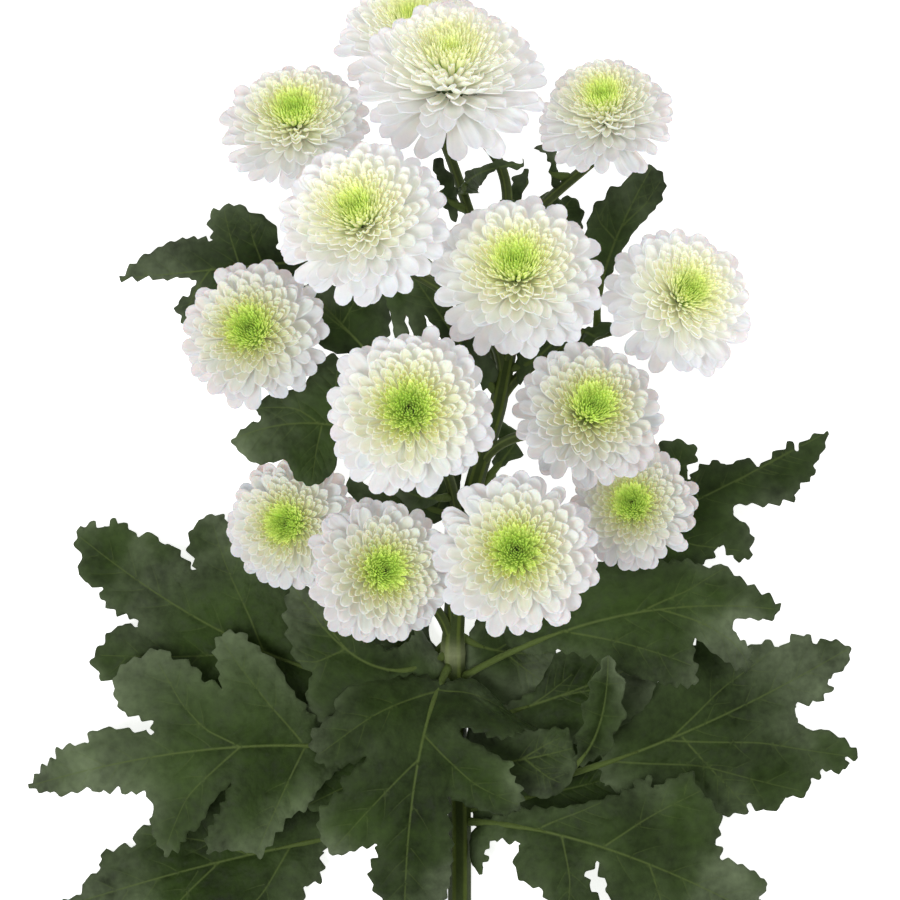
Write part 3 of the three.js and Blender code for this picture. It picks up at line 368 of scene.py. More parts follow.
# Veins: first and last width in millimetres, first and last strength

MIDRIB = (0.62, 0.24, 1, 0.45)
LOBE_VEIN = (0.45, 0.2, 0.7, 0.35)
THIN_VEIN = (0.3, 0.15, 0.3, 0.1)

# Lamps: place and width in metres, and power

LAMPS = {"key": ((-0.6, -0.3, 1.5), 0.6, 13.5), "fill": ((0.9, 0.6, 1.2), 1.0, 4)}
LAMP_TARGET = (0, 0.12, 0.03)


# Mesh helpers


def unit(v):
    """Vectors scaled to length one."""
    return v / np.maximum(np.linalg.norm(v, axis=-1, keepdims=True), 1e-9)


def smooth(x, low, high):
    """Soft step from 0 at low to 1 at high."""
    t = np.clip((x - low) / (high - low), 0, 1)
    return t * t * (3 - 2 * t)


def run_along(line):
    """Distance of each point of a line from its start."""
    return np.concatenate([[0], np.cumsum(np.linalg.norm(np.diff(line, axis=0), axis=1))])


def points_at(line, run, at):
    """Points of a line at given distances along it."""
    return np.stack([np.interp(at, run, column) for column in line.T], -1)


def softened(line, rounds):
    """A line with its corners rounded off and its ends kept."""
    for _ in range(rounds):
        line[1:-1] = line[1:-1] * 0.5 + (line[:-2] + line[2:]) * 0.25
    return line


def to_left(slopes):
    """Flat directions turned a quarter to the left."""
    return np.stack([-slopes[..., 1], slopes[..., 0]], -1)


def join_shells(shells):
    """One set of points, faces and marks from several."""
    points, faces, marks, start = [], [], {}, 0
    for shell_points, shell_faces, shell_marks in shells:
        points.append(shell_points)
        faces.extend(f + start for f in shell_faces)
        for key, values in shell_marks.items():
            marks.setdefault(key, []).append(values)
        start += len(shell_points)
    return np.concatenate(points), faces, {key: np.concatenate(v) for key, v in marks.items()}


def add_piece(name, shell, material, replaced):
    """Mesh object from points in millimetres, riding on the frame in place of its CAD nodes."""
    points, faces, marks = shell
    mesh = bpy.data.meshes.new(name)
    sizes = np.concatenate([np.full(len(f), f.shape[1]) for f in faces])
    loops = np.concatenate([f.ravel() for f in faces]).astype(np.int32)
    mesh.vertices.add(len(points))
    mesh.vertices.foreach_set("co", (points * MM).astype(np.float32).ravel())
    mesh.loops.add(len(loops))
    mesh.loops.foreach_set("vertex_index", loops)
    mesh.polygons.add(len(sizes))
    mesh.polygons.foreach_set("loop_start", (np.cumsum(sizes) - sizes).astype(np.int32))
    for key, values in marks.items():
        kind = "FLOAT_VECTOR" if values.ndim == 2 else "FLOAT"
        layer = mesh.attributes.new(key, kind, "POINT")
        layer.data.foreach_set("vector" if values.ndim == 2 else "value", values.astype(np.float32).ravel())
    mesh.update(calc_edges=True)
    mesh.validate()
    mesh.shade_smooth()
    mesh.materials.append(material)
    piece = bpy.data.objects.new(name, mesh)
    bpy.context.scene.collection.objects.link(piece)
    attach(piece, "root")
    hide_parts(*replaced)


# Stem and stalk curves


def stem_at(y):
    """Centre, direction and radius of the main stem at a distance along it."""
    i = 0
    while i < len(STEM_PATH) - 2 and STEM_PATH[i + 1][1] < y:
        i += 1
    a, b = STEM_PATH[i], STEM_PATH[i + 1]
    t = (y - a[1]) / (b[1] - a[1])
    place = a + (b - a) * t
    return place[:3], unit(b[:3] - a[:3]), place[3]


def bloom_axis(bloom):
    """Direction that a bloom faces."""
    tilt, heading = math.radians(bloom["tilt"]), math.radians(bloom["heading"])
    return np.array([
        math.sin(tilt) * math.cos(heading),
        math.sin(tilt) * math.sin(heading),
        math.cos(tilt),
    ])


def stalk_handles(bloom):
    """Four handles of the curve from the main stem to a bloom's cup."""
    axis = bloom_axis(bloom)
    start, along, _ = stem_at(bloom["start"])
    end = np.array(bloom["at"]) + axis * (FLOOR_Z * bloom["r"] - GAP - CUP_DEEP)
    span = np.linalg.norm(end - start)
    lead = np.array(bloom["lead"]) if "lead" in bloom else start + along * span * STALK_PULL
    return start, lead, end - axis * span * bloom.get("neck", NECK_PULL), end


def cubic(handles, t):
    """Points and directions on a cubic curve."""
    a, b, c, d = handles
    t = np.asarray(t, float)[..., None]
    s = 1 - t
    point = a * s**3 + b * 3 * s * s * t + c * 3 * s * t * t + d * t**3
    slope = (b - a) * 3 * s * s + (c - b) * 6 * s * t + (d - c) * 3 * t * t
    return point, unit(slope)


def main_stem(settings):
    """Ribbed main stem with a pale cut end and a painted highlight at the joint."""
    y = np.linspace(STEM_PATH[0][1], STEM_PATH[-1][1], 140)
    rows = points_at(STEM_PATH, STEM_PATH[:, 1], y)
    centres, radii = softened(rows[:, :3], 3), rows[:, 3]
    centres[:, 0] += LOW_SHIFT * smooth(-y, -45, -15)
    # Pale at the cut end, its own colour, and in a band at the joint, a painted highlight.
    pale = 0.5 * np.exp(-((y - JOINT_Y) / 3.0) ** 2)
    pale[0] = 1.0
    tangents = unit(np.gradient(centres, axis=0))
    return ribbed_tube(centres, tangents, radii, 36, settings.ribs, 0.08, {"pale": pale})


def bloom_stalk(bloom):
    """Thin ribbed stalk from the main stem to a bloom's cup."""
    points, slopes = cubic(stalk_handles(bloom), np.linspace(0, 1, 26))
    even = np.ones(26)
    return ribbed_tube(points, slopes, STALK_R * 0.93 * even, 15, 5, 0.1, {"pale": 0.06 * even})


def bloom_cup(bloom):
    """Fluted cup that widens from the stalk to the underside of a bloom."""
    axis = bloom_axis(bloom)
    levels = np.array(CUP_LEVELS)
    radii = np.array(CUP_SHARES) * CUP_R * bloom["r"]
    radii[:2] = STALK_R * 0.9
    centres = stalk_handles(bloom)[3] + axis * levels[:, None]
    axes = np.tile(axis, (len(levels), 1))
    return ribbed_tube(centres, axes, radii, 30, 10, 0.04, {"pale": np.full(len(levels), 0.1)})


def turn_to(axis):
    """Matrix that turns the up direction to an axis by the shortest way."""
    v = np.cross(UP, axis)
    c = axis[2]
    k = np.array([[0, -v[2], v[1]], [v[2], 0, -v[0]], [-v[1], v[0], 0]])
    return np.eye(3) + k + k @ k / (1 + c)


def ribbed_tube(centres, tangents, radii, sides, ribs, depth, marks):
    """Closed tube with lengthwise ribs, and its marks: rib crest and whatever is given along it."""
    angle = np.arange(sides) / sides * 2 * math.pi
    crest = 0.5 + 0.5 * np.cos(angle * ribs)
    side = unit(np.cross(UP, tangents))
    over = np.cross(tangents, side)
    r = radii[:, None] * (1 + depth * (crest[None, :] - 0.5))
    ring = (side[:, None, :] * (r * np.cos(angle))[..., None]
            + over[:, None, :] * (r * np.sin(angle))[..., None])
    points = (centres[:, None, :] + ring).reshape(-1, 3)
    n = len(centres)
    i = np.arange(n - 1)[:, None] * sides
    k = np.arange(sides)[None, :]
    j = (k + 1) % sides
    quads = np.stack([i + k, i + j, i + sides + j, i + sides + k], -1).reshape(-1, 4)
    caps = []
    for base, outward in ((0, -1), ((n - 1) * sides, 1)):
        centre = len(points)
        points = np.vstack([points, centres[0 if base == 0 else -1]])
        a, b = base + np.arange(sides), base + (np.arange(sides) + 1) % sides
        caps.append(np.stack([a, b, np.full(sides, centre)], -1)[:, ::outward])
    out = {"rib": np.concatenate([np.tile(crest, n), [0.5, 0.5]])}
    for key, values in marks.items():
        out[key] = np.concatenate([np.repeat(values, sides), [values[0], values[-1]]])
    return points, [quads, np.concatenate(caps)], out


# Petals

PETAL_PULL = 0.36
PETAL_CLEAR = 0.02


def petal_shells(spec, steps, across):
    """Thin cupped petals, one closed shell each, in the bloom's own frame.

    spec holds one value per petal: turn, root and tip as (radius, height), their slopes, half width, cup,
    curl and thickness, plus ring and tone, which are marks.
    """
    s = np.linspace(0, 1, steps)
    t = 1 - (1 - s) ** 1.7
    x = np.linspace(-1, 1, across)
    root, tip = spec["root"], spec["tip"]
    span = np.linalg.norm(tip - root, axis=1)[:, None]
    lead = root + np.stack([np.cos(spec["root_slope"]), np.sin(spec["root_slope"])], 1) * span * PETAL_PULL
    lag = tip - np.stack([np.cos(spec["tip_slope"]), np.sin(spec["tip_slope"])], 1) * span * PETAL_PULL
    handles = [p[:, None, :] for p in (root, lead, lag, tip)]
    centre, slope = cubic(handles, np.broadcast_to(t, (len(root), steps)))
    normal = to_left(slope)
    length = span[:, 0][:, None]
    half = spec["half"][:, None]
    rounding = np.clip((t[None, :] - (1 - 0.95 * half / length)) / (0.95 * half / length), 0, 0.985)
    claw = spec["claw"][:, None]
    width = half * (claw + (1 - claw) * smooth(t, 0.02, 0.8)[None, :]) * np.sqrt(1 - rounding**2)
    bend = spec["cup"][:, None] * (0.75 + 0.25 * t)[None, :]
    theta = bend[..., None] * x
    sideways = (width / bend)[..., None] * np.sin(theta)
    lift = (width / bend)[..., None] * (1 - np.cos(theta))
    curl = (spec["curl"][:, None] * half * smooth(t, 0.72, 1.0)[None, :])[..., None]
    wave = np.sin(3 * x[None, None, :] + 5 * t[None, :, None] + spec["tone"][:, None, None] * 20)
    lift = lift + curl + spec["ruffle"][:, None, None] * half[..., None] * wave * t[None, :, None]
    turn = spec["turn"][:, None] + spec["sway"][:, None] * (t**2)[None, :]
    out = np.stack([np.cos(turn), np.sin(turn), np.zeros_like(turn)], -1)
    along_rim = np.stack([-np.sin(turn), np.cos(turn), np.zeros_like(turn)], -1)
    face = out * normal[..., 0:1] + UP * normal[..., 1:2]
    spine = out * centre[..., 0:1] + UP * centre[..., 1:2]
    upper = (spine[:, :, None, :] + face[:, :, None, :] * lift[..., None]
             + along_rim[:, :, None, :] * sideways[..., None])
    local = (face[:, :, None, :] * np.cos(theta)[..., None]
             - along_rim[:, :, None, :] * np.sin(theta)[..., None])
    thick = spec["thick"][:, None, None] * (1 - 0.45 * np.abs(x) ** 3) * (1 - 0.35 * t[None, :, None])
    lower = upper - local * thick[..., None]
    grid = np.concatenate([upper, lower[:, :, ::-1, :]], 2)
    n, ring = len(root), 2 * across
    points = grid.reshape(-1, 3)
    base = (np.arange(n) * steps * ring)[:, None, None]
    i = (np.arange(steps - 1) * ring)[None, :, None]
    k = np.arange(ring)[None, None, :]
    j = (k + 1) % ring
    corners = (base + i + k, base + i + ring + k, base + i + ring + j, base + i + j)
    skin = np.stack(np.broadcast_arrays(*corners), -1)
    m = np.arange(across - 1)[None, :]
    first = (np.arange(n) * steps * ring)[:, None]
    last = first + (steps - 1) * ring
    closing = []
    for rim, flip in ((first, 1), (last, -1)):
        quad = np.stack([rim + m, rim + m + 1, rim + ring - 2 - m, rim + ring - 1 - m], -1).reshape(-1, 4)
        closing.append(quad[:, ::flip])
    tile = (n, steps, ring)
    marks = {
        "along": np.broadcast_to(t[None, :, None], tile),
        "across": np.broadcast_to(np.concatenate([x, x[::-1]])[None, None, :], tile),
        "ring": np.broadcast_to(spec["ring"][:, None, None], tile),
        "tone": np.broadcast_to(spec["tone"][:, None, None], tile),
    }
    return points, [skin.reshape(-1, 4), *closing], {key: v.reshape(-1) for key, v in marks.items()}


# Petals by their place between the heart's middle (0), the rim (1) and the skirt below it: room for each,
# height and slope of the tip, half width, cup, how far out the tip reaches and how far it curls

RINGS = [0, 0.08, 0.17, 0.27, 0.34, 0.45, 0.6, 0.75, 0.9, 1, 1.12]
SPACING = [0.034, 0.036, 0.04, 0.045, 0.056, 0.078, 0.112, 0.14, 0.16, 0.178, 0.19]
DOME = [0.87, 0.91, 0.95, 0.95, 0.93, 0.88, 0.77, 0.61, 0.36, 0.1, -0.14]
TIP_SLOPE = [88, 87, 84, 77, 68, 57, 45, 31, 15, 0, -18]
HALF_WIDTH = [0.014, 0.016, 0.02, 0.024, 0.029, 0.042, 0.072, 0.1, 0.118, 0.122, 0.12]
CUPS = [1.3, 1.3, 1.3, 1.3, 1.3, 1.25, 1.05, 0.82, 0.6, 0.45, 0.4]
REACH = [0, 0.08, 0.17, 0.27, 0.34, 0.46, 0.61, 0.77, 0.93, 1.01, 0.99]
CURL = [0.5, 0.5, 0.4, 0.3, 0.2, 0.2, 0.3, 0.3, 0.22, 0.15, 0.1]
HEART_EDGE = 0.33
WIDE_PETAL = 0.07
HOLLOW_TILT = 15

# Steps along and across a petal's mesh

DETAIL = {"wide": (9, 6), "narrow": (7, 4), "young": (5, 4), "bract": (6, 4)}


def bloom_petals(bloom, seed):
    """Values of one bloom's heart petals and of its white petals, outermost first, a golden turn apart."""
    rng = np.random.default_rng(seed)
    r = np.linspace(0.015, RINGS[-1], 900)
    room = np.cumsum(2 * math.pi * r / np.interp(r, RINGS, SPACING) ** 2) * (r[1] - r[0])
    count = int(room[-1])
    share = (np.arange(count) + 0.5) / count
    ring = np.interp((1 - share) * room[-1], room, r)
    radius, height = bloom["r"], bloom["high"] * bloom["r"]
    spread = rng.normal(0, 1, (8, count)).clip(-2, 2)
    turn = np.arange(count) * GOLDEN_TURN + 0.06 * spread[3] + seed
    away = np.cos(turn - math.radians(bloom["heading"] + 180))
    hang = bloom.get("hang", 0) * away * smooth(ring, 0.5, 1)
    reach = np.interp(ring, RINGS, REACH) * (1 + hang + 0.035 * spread[0] * smooth(ring, 0.2, 0.6))
    tip = np.stack([
        reach * radius,
        np.interp(ring, RINGS, DOME) * height + 0.022 * radius * spread[1] * (0.3 + ring),
    ], 1)
    root = np.stack([
        radius * (0.03 + 0.25 * np.minimum(ring, 1)**0.8),
        0.5 * height * (1 - np.minimum(ring, 1)**1.5) + (FLOOR_Z + 0.03) * radius * np.minimum(ring, 1)**1.5,
    ], 1)
    tip_slope = np.radians(np.interp(ring, RINGS, TIP_SLOPE) + 5 * spread[2])
    chord = np.arctan2(tip[:, 1] - root[:, 1], tip[:, 0] - root[:, 0])
    # petals seen end on below the heart are broader, so that they close the flank
    flank = smooth(ring, 0.3, 0.4) * (1 - smooth(ring, 0.55, 0.7))
    facing = away.clip(0) * smooth(bloom["tilt"], 12, 30) * flank
    petals = {
        "turn": turn,
        "root": root,
        "tip": tip,
        "root_slope": 2 * chord - tip_slope,
        "tip_slope": tip_slope,
        "half": radius * np.interp(ring, RINGS, HALF_WIDTH) * (1 + 0.08 * spread[4] + 0.5 * facing),
        "cup": np.interp(ring, RINGS, CUPS) * (1 + 0.12 * spread[5] + 0.01 * bloom["tilt"] * away.clip(0)),
        "curl": np.interp(ring, RINGS, CURL) + 0.12 * spread[6],
        "claw": np.interp(ring, [0.3, 0.6, 1.0], [0.75, 0.5, 0.42]),
        "ruffle": 0.05 * smooth(ring, 0.4, 0.8),
        "sway": 0.04 * spread[7],
        "thick": 0.14 + 0.16 * ring,
        "ring": ring + bloom.get("pale", 0) * 0.2 * (1 - ring).clip(0),
    }
    tone = rng.random(count)
    # The white petals' tone also carries the bloom's brightness: painted shade that darkens the lower blooms.
    petals["tone"] = np.where(ring <= HEART_EDGE, 0.6 * tone, 0.2 * tone + 0.8 * bloom["brightness"])
    # small hollows between the petals just below the heart, on the side turned towards the eye
    below = (away > 0.7) & (ring > 0.3) & (ring < 0.44) & (spread[0] < -0.2)
    heart = ring <= HEART_EDGE
    shown = ~below if bloom["tilt"] > HOLLOW_TILT else np.ones(count, bool)
    return take(petals, heart & shown), take(petals, ~heart & shown)


def take(spec, chosen):
    """The petals that a mask picks out."""
    return {key: values[chosen] for key, values in spec.items()}


def placed(shell, bloom):
    """A shell moved from the bloom's own frame to its place on the spray."""
    points = shell[0] @ turn_to(bloom_axis(bloom)).T + np.array(bloom["at"])
    points[:, 2] = np.maximum(points[:, 2], PETAL_CLEAR)
    return points, shell[1], shell[2]


def cup_bracts(bloom, seed):
    """Green bracts in rows round the cup under a bloom."""
    rng = np.random.default_rng(seed + 500)
    turn, root, tip = [], [], []
    for count, root_r, root_z, tip_r, shift in BRACT_ROWS:
        for k in range(count):
            turn.append((k + shift) / count * 2 * math.pi + 0.08 * rng.normal())
            root.append((root_r * bloom["r"], FLOOR_Z * bloom["r"] - GAP + root_z * CUP_DEEP))
            tip.append((tip_r * bloom["r"], FLOOR_Z * bloom["r"] - 0.2))
    n = len(turn)
    root, tip = np.array(root), np.array(tip)
    chord = np.arctan2(tip[:, 1] - root[:, 1], tip[:, 0] - root[:, 0])
    same = {"half": 0.075 * bloom["r"], "cup": 0.6, "curl": 0, "claw": 0.8, "ruffle": 0, "sway": 0,
            "thick": 0.4, "ring": 1}
    own = {"turn": np.array(turn), "root": root, "tip": tip, "root_slope": chord + 0.35,
           "tip_slope": chord - 0.3, "tone": rng.random(n)}
    return {**own, **{key: np.full(n, float(value)) for key, value in same.items()}}


def bract_shells(bloom, seed):
    """The bracts of a cup with the stem's own marks."""
    points, faces, marks = placed(petal_shells(cup_bracts(bloom, seed), *DETAIL["bract"]), bloom)
    rib = 0.5 + 0.5 * np.cos(marks["across"] * 3)
    return points, faces, {"rib": rib, "pale": np.full(len(rib), 0.08)}


# Leaves


def from_grid(across, down, height):
    """Place on the plan grid at a height above the floor, in millimetres."""
    step = GRID["step"] * (GRID["high"] - height) / (GRID["high"] - GRID["level"])
    return np.array([
        GRID["centre"][0] + (across - GRID["middle"]) * step,
        GRID["centre"][1] + (GRID["middle"] - down) * step,
        height,
    ])


def leaf_spine(leaf):
    """Handles of a leaf's midrib curve, from just beside the stem to the tip."""
    via, tip = from_grid(*leaf["via"]), from_grid(*leaf["tip"])
    if isinstance(leaf["foot"], tuple):
        number, share = leaf["foot"]
        point, along = cubic(stalk_handles(BLOOMS[number - 1]), share)
        radius = STALK_R
    else:
        point, along, radius = stem_at(leaf["foot"])
    heading = unit(via * 2 - point * 0.5 - tip * 0.5 - point)
    side = unit(np.cross(UP, heading))
    over = np.cross(heading, side)
    ends = np.array([side * a - over * b for a in (-STALK_HALF, 0, STALK_HALF) for b in (0, RIB_THICK)])
    foot = point.copy()
    for _ in range(400):
        off = ends + foot - point
        away = np.linalg.norm(off - (off @ along)[:, None] * along, axis=1).min()
        if away >= radius + FOOT_GAP:
            break
        foot = foot + heading * 0.05
    return foot, via * 2 - foot * 0.5 - tip * 0.5, tip


def quadratic(a, b, c, t):
    """Points on a curve with one middle handle."""
    t = np.asarray(t, float)[:, None]
    return a * (1 - t) ** 2 + b * 2 * t * (1 - t) + c * t * t


class LeafTrack:
    """A leaf's midrib measured out along its length."""

    def __init__(self, leaf):
        handles = leaf_spine(leaf)
        fine = np.linspace(0, 1, 401)
        path = quadratic(*handles, fine)
        run = run_along(path)
        self.length = run[-1]
        even = np.interp(np.linspace(0, self.length, TRACK_STEPS + 1), run, fine)
        self.points = quadratic(*handles, even)
        first, second = handles[1] - handles[0], handles[2] - handles[1]
        self.slopes = unit(first * (1 - even)[:, None] + second * even[:, None])
        self.stalk = self.length * leaf["stalk"]
        self.blade = self.length - self.stalk

    def at(self, u):
        """Midrib point, side and upward directions at a distance from the blade's foot."""
        t = np.clip((u + self.stalk) / self.length, 0, 1) * (len(self.points) - 1)
        index = np.arange(len(self.points))
        point = points_at(self.points, index, t)
        along = unit(points_at(self.slopes, index, t))
        side = unit(np.cross(UP, along))
        return point, side, np.cross(along, side)

    def flat(self, across, down):
        """Distances along and beside the midrib of a place on the plan grid."""
        level = self.points[TRACK_STEPS // 2, 2]
        for _ in range(3):
            off = from_grid(across, down, level)[:2] - self.points[:, :2]
            k = int(np.argmin(np.linalg.norm(off, axis=1)))
            level = self.points[k, 2]
        along = unit(self.slopes[k][:2])
        turn = along[0] * off[k][1] - along[1] * off[k][0]
        along_it = k / TRACK_STEPS * self.length - self.stalk
        return np.array([along_it, math.copysign(np.linalg.norm(off[k]), turn)])


def soft_line(line, count):
    """An open line measured out evenly and softened, its ends kept."""
    run = run_along(line)
    return softened(points_at(line, run, np.linspace(0, run[-1], count)), 4)


def side_veins(path, loop, shares, reach):
    """Thin veins that leave a path on both sides, bend forwards and stop short of the blade's edge."""
    slopes = unit(np.gradient(path, axis=0))
    out = []
    for share in shares:
        for hand in (1, -1):
            k = int(np.clip(share + 0.03 * hand, 0, 1) * (len(path) - 1))
            along = slopes[k]
            leaving = math.radians(48) * hand
            line = [path[k]]
            step = np.array([
                along[0] * math.cos(leaving) - along[1] * math.sin(leaving),
                along[0] * math.sin(leaving) + along[1] * math.cos(leaving),
            ])
            while len(line) < reach:
                line.append(line[-1] + step * 0.6)
                step = unit(step + along * 0.03)
            line = np.array(line)
            within = inside(line, loop)
            stop = len(line) if within.all() else int(np.argmin(within))
            if stop > 7:
                out.append((line[:int(stop * 0.82):2], *THIN_VEIN))
    return out


def read_outline(leaf, track):
    """Closed outline of a blade whose edge is set out on the plan grid, and its veins as in leaf_outline."""
    blade = track.blade
    outline = np.array([track.flat(*place) for place in leaf["edge"]])
    midrib = np.stack([np.linspace(-track.stalk * 0.1, blade * 0.97, 40), np.zeros(40)], 1)
    veins = [(midrib, *MIDRIB)]
    thin = side_veins(midrib, outline, (0.42, 0.56, 0.68, 0.79, 0.89), 22)
    for path in leaf.get("veins", []):
        line = np.array([track.flat(*place) for place in path])
        line[0, 1] *= 0.1
        line = soft_line(line, 24)
        veins.append((line, *LOBE_VEIN))
        thin += side_veins(line, outline, (0.4, 0.6, 0.8), 18)
    return outline, veins + thin


def leaf_outline(leaf, track, tooth):
    """Closed outline of the flat blade, and its veins as a path with its widths and strengths."""
    if "edge" in leaf:
        return read_outline(leaf, track)
    blade = track.blade
    right = leaf.get("right", [])
    core = max([0.06] + [lobe[0] + 0.08 for lobe in right])
    veins = [(np.array([[-track.stalk * 0.1, 0.0], [blade * 0.5, 0], [blade * 0.97, 0]]), *MIDRIB)]
    rims = []
    for side, lobes in ((1, []), (-1, right)):
        chain = []
        for mark, tip_x, tip_y, notch_x, notch_y in lobes:
            chain.append((np.array([mark * blade, 0.0]), track.flat(tip_x, tip_y), LOBE_HALF * blade,
                          track.flat(notch_x, notch_y)))
        half = leaf["half"][0 if side > 0 else 1] * blade
        chain.append((np.array([core * blade, 0.0]), np.array([blade, 0.0]), half, None))
        corner = np.array([0.0, side * STALK_HALF])
        rim = [corner[None]]
        for origin, end, half, notch in chain:
            direction = unit(end - origin)
            reach = np.linalg.norm(end - origin)
            size = min(tooth, 0.05 * blade, 0.09 * reach)
            last = notch is None
            if not last:
                bow = to_left(direction) * side
                control = origin + direction * reach * 0.5 - bow * 0.03 * reach
                path = quadratic(origin, control, end, np.linspace(0, 0.93, 9))
                veins.append((path, 0.55, 0.2, 0.6, 0.3))
            for start, away in ((corner, side), (notch, -side)):
                if start is None:
                    continue
                normal = to_left(direction) * away
                control = origin + direction * reach * 0.66 + normal * half * 1.7
                t = np.linspace(0, 1, 40)
                edge = quadratic(start, control, end, t)
                slope = unit(np.gradient(edge, axis=0))
                outward = to_left(slope) * away
                phase = t * (leaf["teeth"] + 1) % 1
                saw = np.where(phase < 0.3, 1 - phase / 0.3 * 1.4, -0.4 + (phase - 0.3) / 0.7 * 1.4)
                taper = smooth(t, 0.02, 0.22) * smooth(1 - t, 0.0, 0.12)
                edge = edge + outward * (saw * taper * size)[:, None]
                for n in range(1, leaf["teeth"] + 1):
                    peak = edge[int(39 * n / (leaf["teeth"] + 1))]
                    travel = (peak - origin) @ direction
                    aside = np.linalg.norm(peak - origin - direction * travel)
                    foot = origin + direction * np.clip(travel - 0.55 * aside, 0.02 * reach, reach)
                    path = foot + (peak - foot) * np.array([[0], [0.5], [0.86]])
                    veins.append((path, 0.3, 0.12, 0.3, 0.15))
                rim.append(edge[1:] if away == side else edge[:-1][::-1])
            corner = notch
        rims.append(np.concatenate(rim))
    return np.concatenate([rims[1], rims[0][-2::-1]]), veins


def even_loop(loop, spacing, rounds):
    """A closed outline measured out evenly and softened."""
    closed = np.vstack([loop, loop[:1]])
    run = run_along(closed)
    count = max(24, int(run[-1] / spacing))
    out = points_at(closed, run, np.arange(count) / count * run[-1])
    for _ in range(rounds):
        out = out * 0.5 + (np.roll(out, 1, 0) + np.roll(out, -1, 0)) * 0.25
    return out


def serrated(loop, period, depth):
    """A closed outline with fine forward teeth along it."""
    slope = unit(np.roll(loop, -1, 0) - np.roll(loop, 1, 0))
    run = np.linalg.norm(np.roll(loop, -1, 0) - loop, axis=1)
    at = np.cumsum(run) - run
    count = max(6, round(run.sum() / period))
    phase = (at / run.sum() * count + 0.35 * np.sin(at / 9)) % 1
    saw = (np.where(phase < 0.3, phase / 0.3, (1 - phase) / 0.7) - 0.35) * (0.75 + 0.4 * np.sin(at / 6.1))
    return loop + np.stack([slope[:, 1], -slope[:, 0]], 1) * (depth * saw)[:, None] * signed(loop)


def signed(loop):
    """One for an outline that runs anticlockwise, minus one for the other way."""
    after = np.roll(loop, -1, 0)
    return math.copysign(1, (loop[:, 0] * after[:, 1] - loop[:, 1] * after[:, 0]).sum())


def inside(points, loop):
    """Mask of the points within a closed outline."""
    x, y = points[:, :1], points[:, 1:]
    a, b = loop, np.roll(loop, -1, 0)
    crosses = (a[:, 1] > y) != (b[:, 1] > y)
    with np.errstate(divide="ignore", invalid="ignore"):
        at = (b[:, 0] - a[:, 0]) * (y - a[:, 1]) / (b[:, 1] - a[:, 1]) + a[:, 0]
    return (crosses & (x < at)).sum(1) % 2 == 1


def distance(points, starts, ends):
    """Distance from each point to each segment, and how far along it the nearest place is."""
    span = ends - starts
    off = points[:, None, :] - starts[None]
    t = np.clip((off * span).sum(2) / np.maximum((span * span).sum(1), 1e-9), 0, 1)
    return np.linalg.norm(off - t[..., None] * span, axis=2), t


def leaf_mesh(leaf, seed, settings):
    """Flat triangles of a blade with vertices along its outline and veins."""
    track = LeafTrack(leaf)
    tooth = settings.tooth / MM
    outline, veins = leaf_outline(leaf, track, tooth)
    large = track.blade > LARGE_BLADE
    spacing = 0.9 if large else 0.6
    depth = round(tooth if large else tooth / 2, 3)
    loop = serrated(even_loop(outline, 0.5, 1), TOOTH_PITCH, depth)
    points = [loop]
    segments = []
    for path, start_width, end_width, strong, weak in veins:
        length = np.linalg.norm(np.diff(path, axis=0), axis=1).sum()
        at = np.linspace(0, 1, max(3, int(length / (spacing * 1.2))))
        line = points_at(path, run_along(path) / length, at)
        width = start_width + (end_width - start_width) * at
        aside = to_left(unit(np.gradient(line, axis=0))) * width[:, None]
        points += [line, line + aside, line - aside]
        force = strong + (weak - strong) * at
        segments.append((line[:-1], line[1:], width[:-1], width[1:], force[:-1]))
    rng = np.random.default_rng(int(seed * 10))
    low, high = loop.min(0), loop.max(0)
    pitch = spacing * 1.7
    gx, gy = np.meshgrid(np.arange(low[0], high[0], pitch), np.arange(low[1], high[1], pitch * 0.87))
    gx = gx + (np.arange(gx.shape[0]) % 2 * pitch / 2)[:, None]
    field = np.stack([gx.ravel(), gy.ravel()], 1)
    field += rng.normal(0, 0.08 * pitch, field.shape)
    starts, ends, width_a, width_b, force = (np.concatenate(v) for v in zip(*segments))
    far, _ = distance(field, starts, ends)
    field = field[far.min(1) > 0.9 * spacing]
    inner = np.vstack([*points[1:], field])
    edge_far, _ = distance(inner, loop, np.roll(loop, -1, 0))
    inner = inner[inside(inner, loop) & (edge_far.min(1) > 0.45 * spacing)]
    flat = np.vstack([loop, inner])
    made = delaunay_2d_cdt([tuple(p) for p in flat], [], [list(range(len(loop)))], 1, 0.02)
    flat = np.array([tuple(p) for p in made[0]])
    faces = np.array([f for f in made[2] if len(f) == 3])
    far, share = distance(flat, starts, ends)
    width = width_a + (width_b - width_a) * share
    vein = (np.clip(1 - far / width, 0, 1) * force).max(1)
    near = (far - width * 0.5).min(1).clip(0)
    edge_far, _ = distance(flat, loop, np.roll(loop, -1, 0))
    return track, flat, faces, vein, near, edge_far.min(1)


